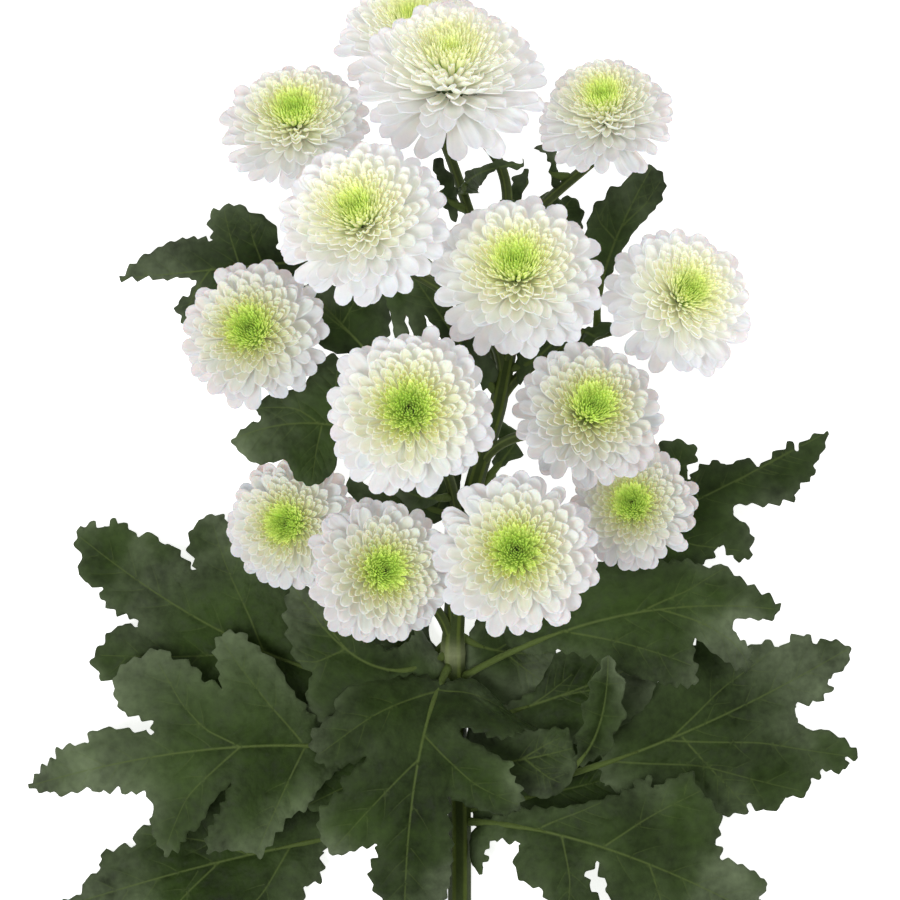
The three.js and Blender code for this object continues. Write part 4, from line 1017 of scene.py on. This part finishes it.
def leaf_shell(leaf, seed, settings):
    """Closed blade with its midrib and stalk, laid along the curved midrib."""
    track, flat, faces, vein, near, margin = leaf_mesh(leaf, seed, settings)
    u, v = flat[:, 0], flat[:, 1]
    blade = track.blade
    point, side, over = track.at(u)
    roll = math.radians(leaf.get("roll", 0))
    turned = side * math.cos(roll) + over * math.sin(roll)
    raised = over * math.cos(roll) - side * math.sin(roll)
    share = np.abs(v) / blade
    large = min(1, blade / 60)
    ripple = RIPPLE * leaf["wave"] * np.minimum(1, share * 4) * np.sin(u / blade * 11 + seed + np.sign(v) * 2)
    frill = FRILL * large * smooth(8 - margin, 0, 8) * np.sin(u / 4.6 + seed) * np.cos(v / 4 + seed * 2)
    swell = SWELL * large * smooth(np.abs(v), 0.5, 7) * np.sin(u / 7.3 + seed * 3) * np.cos(v / 6.1 + seed)
    quilt = QUILT * (1 - np.exp(-near / 1.5)) * smooth(margin, 0, 3)
    bend = leaf.get("fold", FOLD) * np.abs(v) - 0.45 * share * np.abs(v)
    lift = bend + ripple + frill + swell + quilt - 0.5
    upper = point + turned * v[:, None] + raised * lift[:, None]
    rib = smooth(1.6 - np.abs(v), 0, 1.6) * (1 - 0.7 * np.clip(u / blade, 0, 1))
    thick = settings.blade / MM * (0.45 + 0.55 * smooth(margin, 0, 1.5)) + 0.8 * rib + 0.25 * vein
    lower = upper - raised * thick[:, None]
    up = np.maximum(0, FLOOR_CLEAR - lower[:, 2])
    upper[:, 2] += up
    lower[:, 2] += up
    n = len(flat)
    pairs = np.concatenate([faces[:, [0, 1]], faces[:, [1, 2]], faces[:, [2, 0]]])
    keys = set(map(tuple, pairs))
    rim = np.array([p for p in keys if (p[1], p[0]) not in keys])
    walls = np.stack([rim[:, 1], rim[:, 0], rim[:, 0] + n, rim[:, 1] + n], 1)
    plan = np.stack([u, v, np.full(n, seed * 7.0)], 1) * MM
    marks = {
        "vein": np.concatenate([vein, vein]),
        "edge": np.tile(np.exp(-margin / 4), 2),
        "lobe": np.tile(smooth(np.hypot(u / blade - 0.3, v / blade), 0.14, 0.5), 2),
        "under": np.concatenate([np.zeros(n), np.ones(n)]),
        "plan": np.vstack([plan, plan]),
    }
    body = (np.vstack([upper, lower]), [faces, faces[:, ::-1] + n, walls], marks)
    return join_shells([body, leaf_stalk(track)])


def leaf_stalk(track):
    """Tube from inside the stem to a little way up a blade's midrib, flared at its foot."""
    blade = track.blade
    inside_stem = -track.stalk - np.array([2.6, 1.7, 0.8])
    reach = np.concatenate([inside_stem, np.linspace(-track.stalk, 0.12 * blade, 14)])
    centre, _, above = track.at(reach)
    centre += track.slopes[0] * np.minimum(reach + track.stalk, 0)[:, None]
    thin = 1 - 0.6 * smooth(reach, 0, 0.12 * blade) + 0.35 * np.exp(-(reach + track.stalk).clip(0) / 2.5)
    centre = centre - above * (0.35 + 0.45 * thin)[:, None]
    slopes = unit(np.gradient(centre, axis=0))
    points, faces, _ = ribbed_tube(centre, slopes, LEAF_STALK_R * thin, 12, 3, 0.12, {})
    points = np.maximum(points, [-np.inf, -np.inf, FLOOR_CLEAR])
    n = len(points)
    none = np.zeros(n)
    marks = {"vein": np.full(n, 0.8), "edge": none, "lobe": none, "under": none, "plan": points * MM}
    return points, faces, marks


# Shader helpers


def socket(group, name, way, kind, default=None):
    """A named input or output of a node group."""
    made = group.interface.new_socket(name=name, in_out=way, socket_type=kind)
    if default is not None:
        made.default_value = default


class Wiring:
    """Short ways to add and join the nodes of one tree."""

    def __init__(self, tree):
        self.tree = tree

    def node(self, kind, **values):
        """A node, with its settings by name."""
        made = self.tree.nodes.new(kind)
        for key, value in values.items():
            setattr(made, key, value)
        return made

    def put(self, target, value):
        """Joins a socket to another, or sets its value."""
        if hasattr(value, "is_output"):
            self.tree.links.new(value, target)
        else:
            target.default_value = value

    def mark(self, name, vector=False):
        """A mark stored on the mesh."""
        made = self.node("ShaderNodeAttribute", attribute_name=name)
        return made.outputs["Vector" if vector else "Fac"]

    def math(self, operation, a, b=0.0):
        """One sum of two numbers."""
        made = self.node("ShaderNodeMath", operation=operation)
        self.put(made.inputs[0], a)
        self.put(made.inputs[1], b)
        return made.outputs[0]

    def times(self, a, b):
        """Two numbers multiplied."""
        return self.math("MULTIPLY", a, b)

    def plus(self, a, b):
        """Two numbers added."""
        return self.math("ADD", a, b)

    def step(self, value, low, high, out_low=0.0, out_high=1.0):
        """A soft step of a number from low to high."""
        made = self.node("ShaderNodeMapRange", interpolation_type="SMOOTHSTEP")
        ends = {"Value": value, "From Min": low, "From Max": high, "To Min": out_low, "To Max": out_high}
        for name, v in ends.items():
            self.put(made.inputs[name], v)
        return made.outputs["Result"]

    def mix(self, factor, a, b):
        """A mix of two colours."""
        made = self.node("ShaderNodeMix", data_type="RGBA")
        self.put(made.inputs[0], factor)
        self.put(made.inputs[6], a)
        self.put(made.inputs[7], b)
        return made.outputs[2]

    def ramp(self, value, stops):
        """A colour that changes along a number."""
        made = self.node("ShaderNodeValToRGB")
        self.put(made.inputs[0], value)
        elements = made.color_ramp.elements
        while len(elements) < len(stops):
            elements.new(0.5)
        for element, (position, colour) in zip(elements, stops):
            element.position = position
            element.color = (*colour, 1)
        return made.outputs["Color"]

    def noise(self, vector, scale):
        """Soft noise at a place."""
        made = self.node("ShaderNodeTexNoise")
        self.put(made.inputs["Vector"], vector)
        made.inputs["Scale"].default_value = scale
        made.inputs["Detail"].default_value = 3.0
        return made.outputs["Fac"]


def mottle_group():
    """Plant mottle: slow and fine changes of tone over a surface, put out as a number round one."""
    group = bpy.data.node_groups.new("Plant Mottle", "ShaderNodeTree")
    socket(group, "Vector", "INPUT", "NodeSocketVector")
    socket(group, "Patch", "INPUT", "NodeSocketFloat", 100.0)
    socket(group, "Strength", "INPUT", "NodeSocketFloat", 0.2)
    socket(group, "Tone", "OUTPUT", "NodeSocketFloat")
    socket(group, "Grain", "OUTPUT", "NodeSocketFloat")
    wires = Wiring(group)
    given = wires.node("NodeGroupInput")
    out = wires.node("NodeGroupOutput")
    slow = wires.node("ShaderNodeTexNoise")
    fine = wires.node("ShaderNodeTexNoise")
    for n, factor in ((slow, 1.0), (fine, 9.0)):
        wires.put(n.inputs["Vector"], given.outputs["Vector"])
        wires.put(n.inputs["Scale"], wires.times(given.outputs["Patch"], factor))
    strength = wires.times(given.outputs["Strength"], 4.0)
    both = wires.times(slow.outputs["Fac"], 0.7)
    both = wires.plus(both, wires.times(fine.outputs["Fac"], 0.3))
    shifted = wires.times(wires.math("SUBTRACT", both, 0.5), strength)
    wires.put(out.inputs["Tone"], wires.plus(shifted, 1.0))
    wires.put(out.inputs["Grain"], fine.outputs["Fac"])
    return group


def rib_group():
    """Fine ribs: parallel lines across a surface, put out as a height, stronger in the middle."""
    group = bpy.data.node_groups.new("Fine Ribs", "ShaderNodeTree")
    socket(group, "Across", "INPUT", "NodeSocketFloat")
    socket(group, "Count", "INPUT", "NodeSocketFloat", 3.0)
    socket(group, "Height", "OUTPUT", "NodeSocketFloat")
    wires = Wiring(group)
    given = wires.node("NodeGroupInput")
    out = wires.node("NodeGroupOutput")
    turn = wires.times(wires.times(given.outputs["Across"], given.outputs["Count"]), math.pi)
    wires.put(out.inputs["Height"], wires.plus(wires.times(wires.math("COSINE", turn), 0.5), 0.5))
    return group


def new_material(name, roughness, constants=()):
    """A material with its shader, wiring helper and constants set on the shader's own sockets."""
    material = bpy.data.materials.new(name)
    material.use_nodes = True
    shader = material.node_tree.nodes["Principled BSDF"]
    shader.inputs["Roughness"].default_value = roughness
    for key, value in constants:
        shader.inputs[key].default_value = value
    return material, shader, Wiring(material.node_tree)


def grouped(wires, group, **values):
    """A node group placed in a tree with its own values."""
    made = wires.node("ShaderNodeGroup")
    made.node_tree = group
    for key, value in values.items():
        wires.put(made.inputs[key], value)
    return made


def mottled(wires, patch, strength, place=None):
    """The plant mottle over a surface, by its own place unless another is given."""
    if place is None:
        place = wires.node("ShaderNodeTexCoord").outputs["Object"]
    return grouped(wires, shared("Plant Mottle"), Vector=place, Patch=patch, Strength=strength)


def coloured(wires, shader, colour):
    """A colour that a shader both reflects and gives off."""
    wires.put(shader.inputs["Base Color"], colour)
    wires.put(shader.inputs["Emission Color"], colour)


def toned(wires, colour, tone):
    """A colour made lighter or darker by a number round one."""
    made = wires.node("ShaderNodeVectorMath", operation="SCALE")
    wires.put(made.inputs[0], colour)
    wires.put(made.inputs["Scale"], tone)
    return made.outputs["Vector"]


def bumped(wires, shader, height, strength, distance_m):
    """Relief on a shader's normal."""
    made = wires.node("ShaderNodeBump")
    made.inputs["Strength"].default_value = strength
    made.inputs["Distance"].default_value = distance_m
    wires.put(made.inputs["Height"], height)
    wires.put(shader.inputs["Normal"], made.outputs["Normal"])


def shared(name):
    """A shared node group by name, built when first asked for."""
    makers = {"Plant Mottle": mottle_group, "Fine Ribs": rib_group}
    return bpy.data.node_groups.get(name) or makers[name]()


def petal_material(settings):
    """White petals, cream inside and lime at the heart's edge, with a painted highlight on their rims,
    painted shade in their hollow middles and sunk bases, lilac grey outer tips that are partly a real tinge
    and partly painted shade, and a painted glow.
    """
    material, shader, wires = new_material("white_petal", 0.6, [
        ("Subsurface Weight", 0.25), ("Subsurface Scale", 0.004), ("Specular IOR Level", 0.2),
        ("Emission Strength", 0.15),
    ])
    ring, along, across, tone = (wires.mark(k) for k in ("ring", "along", "across", "tone"))
    mottle = mottled(wires, 160.0, 0.05)
    # Rim colour is the painted highlight on the sides and tips of a cupped petal, channel colour the painted
    # shade in its hollow middle; their cream and lime are the petals' own.
    rim = wires.ramp(ring, [
        (0.33, (0.8, 0.88, 0.36)), (0.4, (0.88, 0.9, 0.54)), (0.52, (0.92, 0.92, 0.72)),
        (0.68, (0.92, 0.92, 0.84)), (0.88, settings.white[:]),
    ])
    channel = wires.ramp(ring, [
        (0.33, (0.66, 0.77, 0.22)), (0.4, (0.8, 0.83, 0.38)), (0.52, (0.87, 0.87, 0.58)),
        (0.7, (0.86, 0.86, 0.72)), (0.9, (0.81, 0.81, 0.79)),
    ])
    # Darker base of each petal: partly its own cream and green, partly painted shade where it sinks under the
    # others.
    base_and_shade = wires.ramp(ring, [
        (0.33, (0.28, 0.36, 0.08)), (0.45, (0.54, 0.57, 0.28)), (0.62, (0.7, 0.71, 0.5)),
        (0.9, (0.68, 0.68, 0.63)),
    ])
    # Mask of the painted rim highlight: the petal's sides and its very tip.
    edge = wires.step(wires.math("ABSOLUTE", across), 0.3, 1.0)
    edge = wires.math("MAXIMUM", edge, wires.step(along, 0.86, 1.0))
    colour = wires.mix(edge, channel, rim)
    colour = wires.mix(wires.step(along, 0.2, 0.7), base_and_shade, colour)
    # Lilac grey on the outer tips: partly a real tinge, partly painted shade.
    tip = wires.times(wires.step(ring, 0.74, 1.0), wires.step(along, 0.6, 1.0))
    colour = wires.mix(wires.times(tip, 0.55), colour, (*settings.tip, 1))
    # Brightness of a petal: its random tone, and painted shade on the blooms set less bright.
    brightness = wires.plus(wires.times(tone, 0.25), 0.79)
    colour = toned(wires, colour, wires.times(mottle.outputs["Tone"], brightness))
    # The petals also give off their colour: a painted glow that lifts them and their shade.
    coloured(wires, shader, colour)
    ribs = grouped(wires, shared("Fine Ribs"), Across=across, Count=3.0)
    height = wires.plus(ribs.outputs["Height"], wires.times(mottle.outputs["Grain"], 0.5))
    bumped(wires, shader, height, 0.25, 0.0002)
    return material


def heart_material(settings):
    """Young green petals, yellow-green at their tips, with painted shade where they sink between one another
    and into the dimple, and a painted glow.
    """
    material, shader, wires = new_material("green_heart", 0.55, [
        ("Subsurface Weight", 0.1), ("Subsurface Scale", 0.002), ("Specular IOR Level", 0.2),
        ("Emission Strength", 0.2),
    ])
    ring, along, tone = (wires.mark(k) for k in ("ring", "along", "tone"))
    mottle = mottled(wires, 300.0, 0.12)
    dimple, slope, sunk_shade = (
        tuple(channel * share for channel, share in zip(settings.heart, shares))
        for shares in ((0.5, 0.58, 0.45), (0.82, 0.9, 0.8), (0.6, 0.68, 0.5))
    )
    body = wires.ramp(ring, [
        (0.0, dimple), (0.07, slope), (0.18, tuple(settings.heart)), (0.32, (0.78, 0.87, 0.3)),
        (0.42, (0.88, 0.9, 0.54)),
    ])
    # Painted shade: darker where the young petals sink between one another, darkest in the dimple.
    base_and_shade = wires.mix(wires.step(ring, 0.02, 0.1), (0.14, 0.22, 0.02, 1), (*sunk_shade, 1))
    colour = wires.mix(wires.step(along, 0.2, 0.85), base_and_shade, body)
    brightness = wires.plus(wires.times(tone, 0.4), 0.82)
    colour = toned(wires, colour, wires.times(mottle.outputs["Tone"], brightness))
    # The heart also gives off its colour: a painted glow that lifts its shade.
    coloured(wires, shader, colour)
    bumped(wires, shader, mottle.outputs["Grain"], 0.3, 0.0002)
    return material


def leaf_material(settings):
    """Dark olive blade, blue-grey towards its lobes and edges, partly its real grey bloom and partly a
    painted sheen, with paler veins and a lighter underside.
    """
    material, shader, wires = new_material("leaf_green", 0.62, [("Specular IOR Level", 0.1)])
    vein, edge, lobe, under = (wires.mark(k) for k in ("vein", "edge", "lobe", "under"))
    plan = wires.mark("plan", vector=True)
    mottle = mottled(wires, 45.0, 0.8, plan)
    # Blue-grey patches towards the lobes and edges: partly the leaf's real grey bloom, partly a painted
    # sheen.
    patches = wires.step(wires.noise(plan, 34.0), 0.38, 0.62)
    grey = wires.times(wires.plus(wires.times(lobe, 0.75), 0.1), patches)
    grey = wires.plus(grey, wires.times(edge, 0.25))
    colour = wires.mix(grey, (*settings.green, 1), (*settings.grey, 1))
    colour = toned(wires, colour, mottle.outputs["Tone"])
    colour = wires.mix(vein, colour, (*settings.vein, 1))
    colour = wires.mix(wires.times(under, 0.55), colour, (0.12, 0.165, 0.085, 1))
    wires.put(shader.inputs["Base Color"], colour)
    wires.put(shader.inputs["Roughness"], wires.step(mottle.outputs["Grain"], 0.2, 0.8, 0.5, 0.7))
    height = wires.plus(wires.times(mottle.outputs["Grain"], 0.12), wires.noise(plan, 150.0))
    bumped(wires, shader, height, 0.75, 0.0022)
    return material


def stem_material(settings):
    """Ribbed green stem, paler on its ribs, with a painted highlight at the joint and a pale cut end."""
    material, shader, wires = new_material("stem_green", 0.55, [("Specular IOR Level", 0.12)])
    rib, pale = wires.mark("rib"), wires.mark("pale")
    mottle = mottled(wires, 120.0, 0.3)
    colour = wires.mix(wires.step(rib, 0.45, 0.95), (*settings.groove, 1), (*settings.rib, 1))
    # Paler along the pale mark: the real cut end, stalks and cups, and a painted highlight at the joint.
    colour = wires.mix(pale, colour, (0.34, 0.38, 0.2, 1))
    wires.put(shader.inputs["Base Color"], toned(wires, colour, mottle.outputs["Tone"]))
    bumped(wires, shader, mottle.outputs["Grain"], 0.4, 0.0003)
    return material


# Stage


def lay_floor(settings):
    """Wide pale floor at the height that the spray lies on."""
    half = 4.0
    corners = [(-half, -half, 0), (half, -half, 0), (half, half, 0), (-half, half, 0)]
    mesh = bpy.data.meshes.new("floor")
    mesh.from_pydata(corners, [], [(0, 1, 2, 3)])
    floor = bpy.data.objects.new("floor", mesh)
    bpy.context.scene.collection.objects.link(floor)
    material, shader, wires = new_material("pale_floor", 0.9, [("Emission Strength", 0.8)])
    mottle = mottled(wires, 20.0, 0.01)
    coloured(wires, shader, toned(wires, (*settings.floor,), mottle.outputs["Tone"]))
    mesh.materials.append(material)


def set_daylight(settings):
    """Even white light from all round."""
    world = bpy.data.worlds.new("daylight")
    world.use_nodes = True
    background = world.node_tree.nodes["Background"]
    background.inputs["Color"].default_value = (1, 1, 1, 1)
    background.inputs["Strength"].default_value = settings.daylight
    bpy.context.scene.world = world


def set_lamps():
    """Soft lamps turned towards the middle of the spray."""
    for name, (place, width, power) in LAMPS.items():
        light = bpy.data.lights.new(name, "AREA")
        light.energy = power
        light.size = width
        lamp = bpy.data.objects.new(name, light)
        lamp.location = place
        bpy.context.scene.collection.objects.link(lamp)
        aim = np.array(LAMP_TARGET) - np.array(place)
        lamp.rotation_mode = "QUATERNION"
        lamp.rotation_quaternion = Vector(aim).to_track_quat("-Z", "Y")


def set_camera(settings):
    """Camera that looks straight down and takes in the plan grid from side to side."""
    view = bpy.data.cameras.new("camera")
    view.sensor_width = 36
    across = GRID["step"] * MM * (2 * GRID["middle"])
    view.lens = view.sensor_width * (settings.distance - GRID["level"] * MM) / across
    view.clip_start, view.clip_end = 0.01, 50
    camera = bpy.data.objects.new("camera", view)
    camera.location = (GRID["centre"][0] * MM, GRID["centre"][1] * MM, settings.distance)
    bpy.context.scene.collection.objects.link(camera)
    bpy.context.scene.camera = camera


# Settings that a user may change


def colour_setting(name, description, default):
    """A colour in the panel."""
    return FloatVectorProperty(name=name, description=description, subtype="COLOR", default=default, min=0,
                               max=1)


class BloomSettings(PropertyGroup):
    """Petals and hearts."""

    white: colour_setting("Petal", "Colour of the outer petals", (0.88, 0.88, 0.87))
    # Tip colour: partly a real lilac tinge, partly painted shade on the outermost tips.
    tip: colour_setting("Tip", "Colour of the outermost tips", (0.68, 0.67, 0.74))
    heart: colour_setting("Heart", "Colour of the young petals", (0.58, 0.75, 0.15))


class LeafSettings(PropertyGroup):
    """Leaf blades."""

    blade: FloatProperty(name="Blade", description="Thickness of a leaf blade", default=0.0006, min=0.0002,
                         max=0.002, subtype="DISTANCE", unit="LENGTH")
    tooth: FloatProperty(name="Tooth", description="How far a tooth stands out of the edge", default=0.0016,
                         min=0, max=0.005, subtype="DISTANCE", unit="LENGTH")
    green: colour_setting("Blade", "Colour of the blade", (0.023, 0.043, 0.007))
    # The grey is partly the leaf's real grey bloom and partly a painted sheen towards the lobes.
    grey: colour_setting("Bloom", "Grey bloom towards the lobes", (0.1, 0.128, 0.07))
    vein: colour_setting("Vein", "Colour of the veins", (0.1, 0.14, 0.035))


class StemSettings(PropertyGroup):
    """Main stem, stalks and cups."""

    ribs: IntProperty(name="Ribs", description="Ribs round the main stem", default=6, min=3, max=12)
    groove: colour_setting("Groove", "Colour between the ribs", (0.03, 0.047, 0.008))
    rib: colour_setting("Rib", "Colour on the ribs", (0.072, 0.1, 0.017))


class StageSettings(PropertyGroup):
    """Floor, light and camera."""

    distance: FloatProperty(name="Camera", description="Camera height above the floor", default=1.64, min=0.3,
                            max=10, subtype="DISTANCE", unit="LENGTH")
    daylight: FloatProperty(name="Daylight", description="Strength of the even light", default=0.44, min=0,
                            max=5)
    floor: colour_setting("Floor", "Colour of the floor", (0.93, 0.93, 0.93))


# Operators


class SPRAY_OT_blooms(Operator):
    """Builds the petals and the green heart of every bloom"""

    bl_idname = "spray.blooms"
    bl_label = "Blooms"

    def execute(self, context):
        settings = context.scene.spray_blooms
        white, green = petal_material(settings), heart_material(settings)
        for k, bloom in enumerate(BLOOMS):
            number = f"{k + 1:02d}"
            young, open_petals = bloom_petals(bloom, k + 1)
            wide = open_petals["half"] > WIDE_PETAL * bloom["r"]
            outer = petal_shells(take(open_petals, wide), *DETAIL["wide"])
            inner = petal_shells(take(open_petals, ~wide), *DETAIL["narrow"])
            heart = petal_shells(young, *DETAIL["young"])
            add_piece(f"petals_{number}", placed(join_shells([outer, inner]), bloom), white,
                      [f"bloom_{number}_petals"])
            add_piece(f"heart_{number}", placed(heart, bloom), green, [f"bloom_{number}_eye"])
        return {"FINISHED"}


class SPRAY_OT_leaves(Operator):
    """Builds every leaf with its lobes, teeth and veins"""

    bl_idname = "spray.leaves"
    bl_label = "Leaves"

    def execute(self, context):
        settings = context.scene.spray_leaves
        material = leaf_material(settings)
        for k, leaf in enumerate(LEAVES):
            name = leaf["name"]
            shell = leaf_shell(leaf, k * 1.7, settings)
            add_piece(name.replace("leaf_", "blade_"), shell, material, [name])
        return {"FINISHED"}


class SPRAY_OT_stem(Operator):
    """Builds the ribbed main stem, the stalks and the cups under the blooms"""

    bl_idname = "spray.stem"
    bl_label = "Stem"

    def execute(self, context):
        settings = context.scene.spray_stem
        shells = [main_stem(settings)]
        for k, bloom in enumerate(BLOOMS):
            shells += [bloom_stalk(bloom), bloom_cup(bloom), bract_shells(bloom, k)]
        add_piece("stem_and_stalks", join_shells(shells), stem_material(settings), ["stem"])
        return {"FINISHED"}


class SPRAY_OT_stage(Operator):
    """Sets the pale floor, the soft light and the camera that looks down on the spray"""

    bl_idname = "spray.stage"
    bl_label = "Stage"

    def execute(self, context):
        settings = context.scene.spray_stage
        lay_floor(settings)
        set_daylight(settings)
        set_lamps()
        set_camera(settings)
        context.scene.view_settings.view_transform = "Standard"
        return {"FINISHED"}


class SPRAY_PT_panel(Panel):
    """Lists the steps of the spray and their settings."""

    bl_idname = "SPRAY_PT_panel"
    bl_label = "Chrysanthemum Spray"
    bl_space_type = "VIEW_3D"
    bl_region_type = "UI"
    bl_category = "Spray"

    def draw(self, context):
        for group, operator in STEPS:
            box = self.layout.box()
            settings = getattr(context.scene, group)
            for key in settings.__annotations__:
                box.prop(settings, key)
            box.operator(operator)


STEPS = [
    ("spray_stem", "spray.stem"),
    ("spray_leaves", "spray.leaves"),
    ("spray_blooms", "spray.blooms"),
    ("spray_stage", "spray.stage"),
]
GROUPS = {
    "spray_stem": StemSettings,
    "spray_leaves": LeafSettings,
    "spray_blooms": BloomSettings,
    "spray_stage": StageSettings,
}
CLASSES = [*GROUPS.values(), SPRAY_OT_stem, SPRAY_OT_leaves, SPRAY_OT_blooms, SPRAY_OT_stage, SPRAY_PT_panel]


def register():
    """Adds the classes and their settings."""
    for cls in CLASSES:
        bpy.utils.register_class(cls)
    for name, group in GROUPS.items():
        setattr(bpy.types.Scene, name, PointerProperty(type=group))


def unregister():
    """Takes them away again."""
    for name in GROUPS:
        delattr(bpy.types.Scene, name)
    for cls in reversed(CLASSES):
        bpy.utils.unregister_class(cls)


def main():
    """Builds the whole spray on the frame."""
    register()
    bpy.ops.spray.stem()
    bpy.ops.spray.leaves()
    bpy.ops.spray.blooms()
    bpy.ops.spray.stage()


if __name__ == "__main__":
    main()
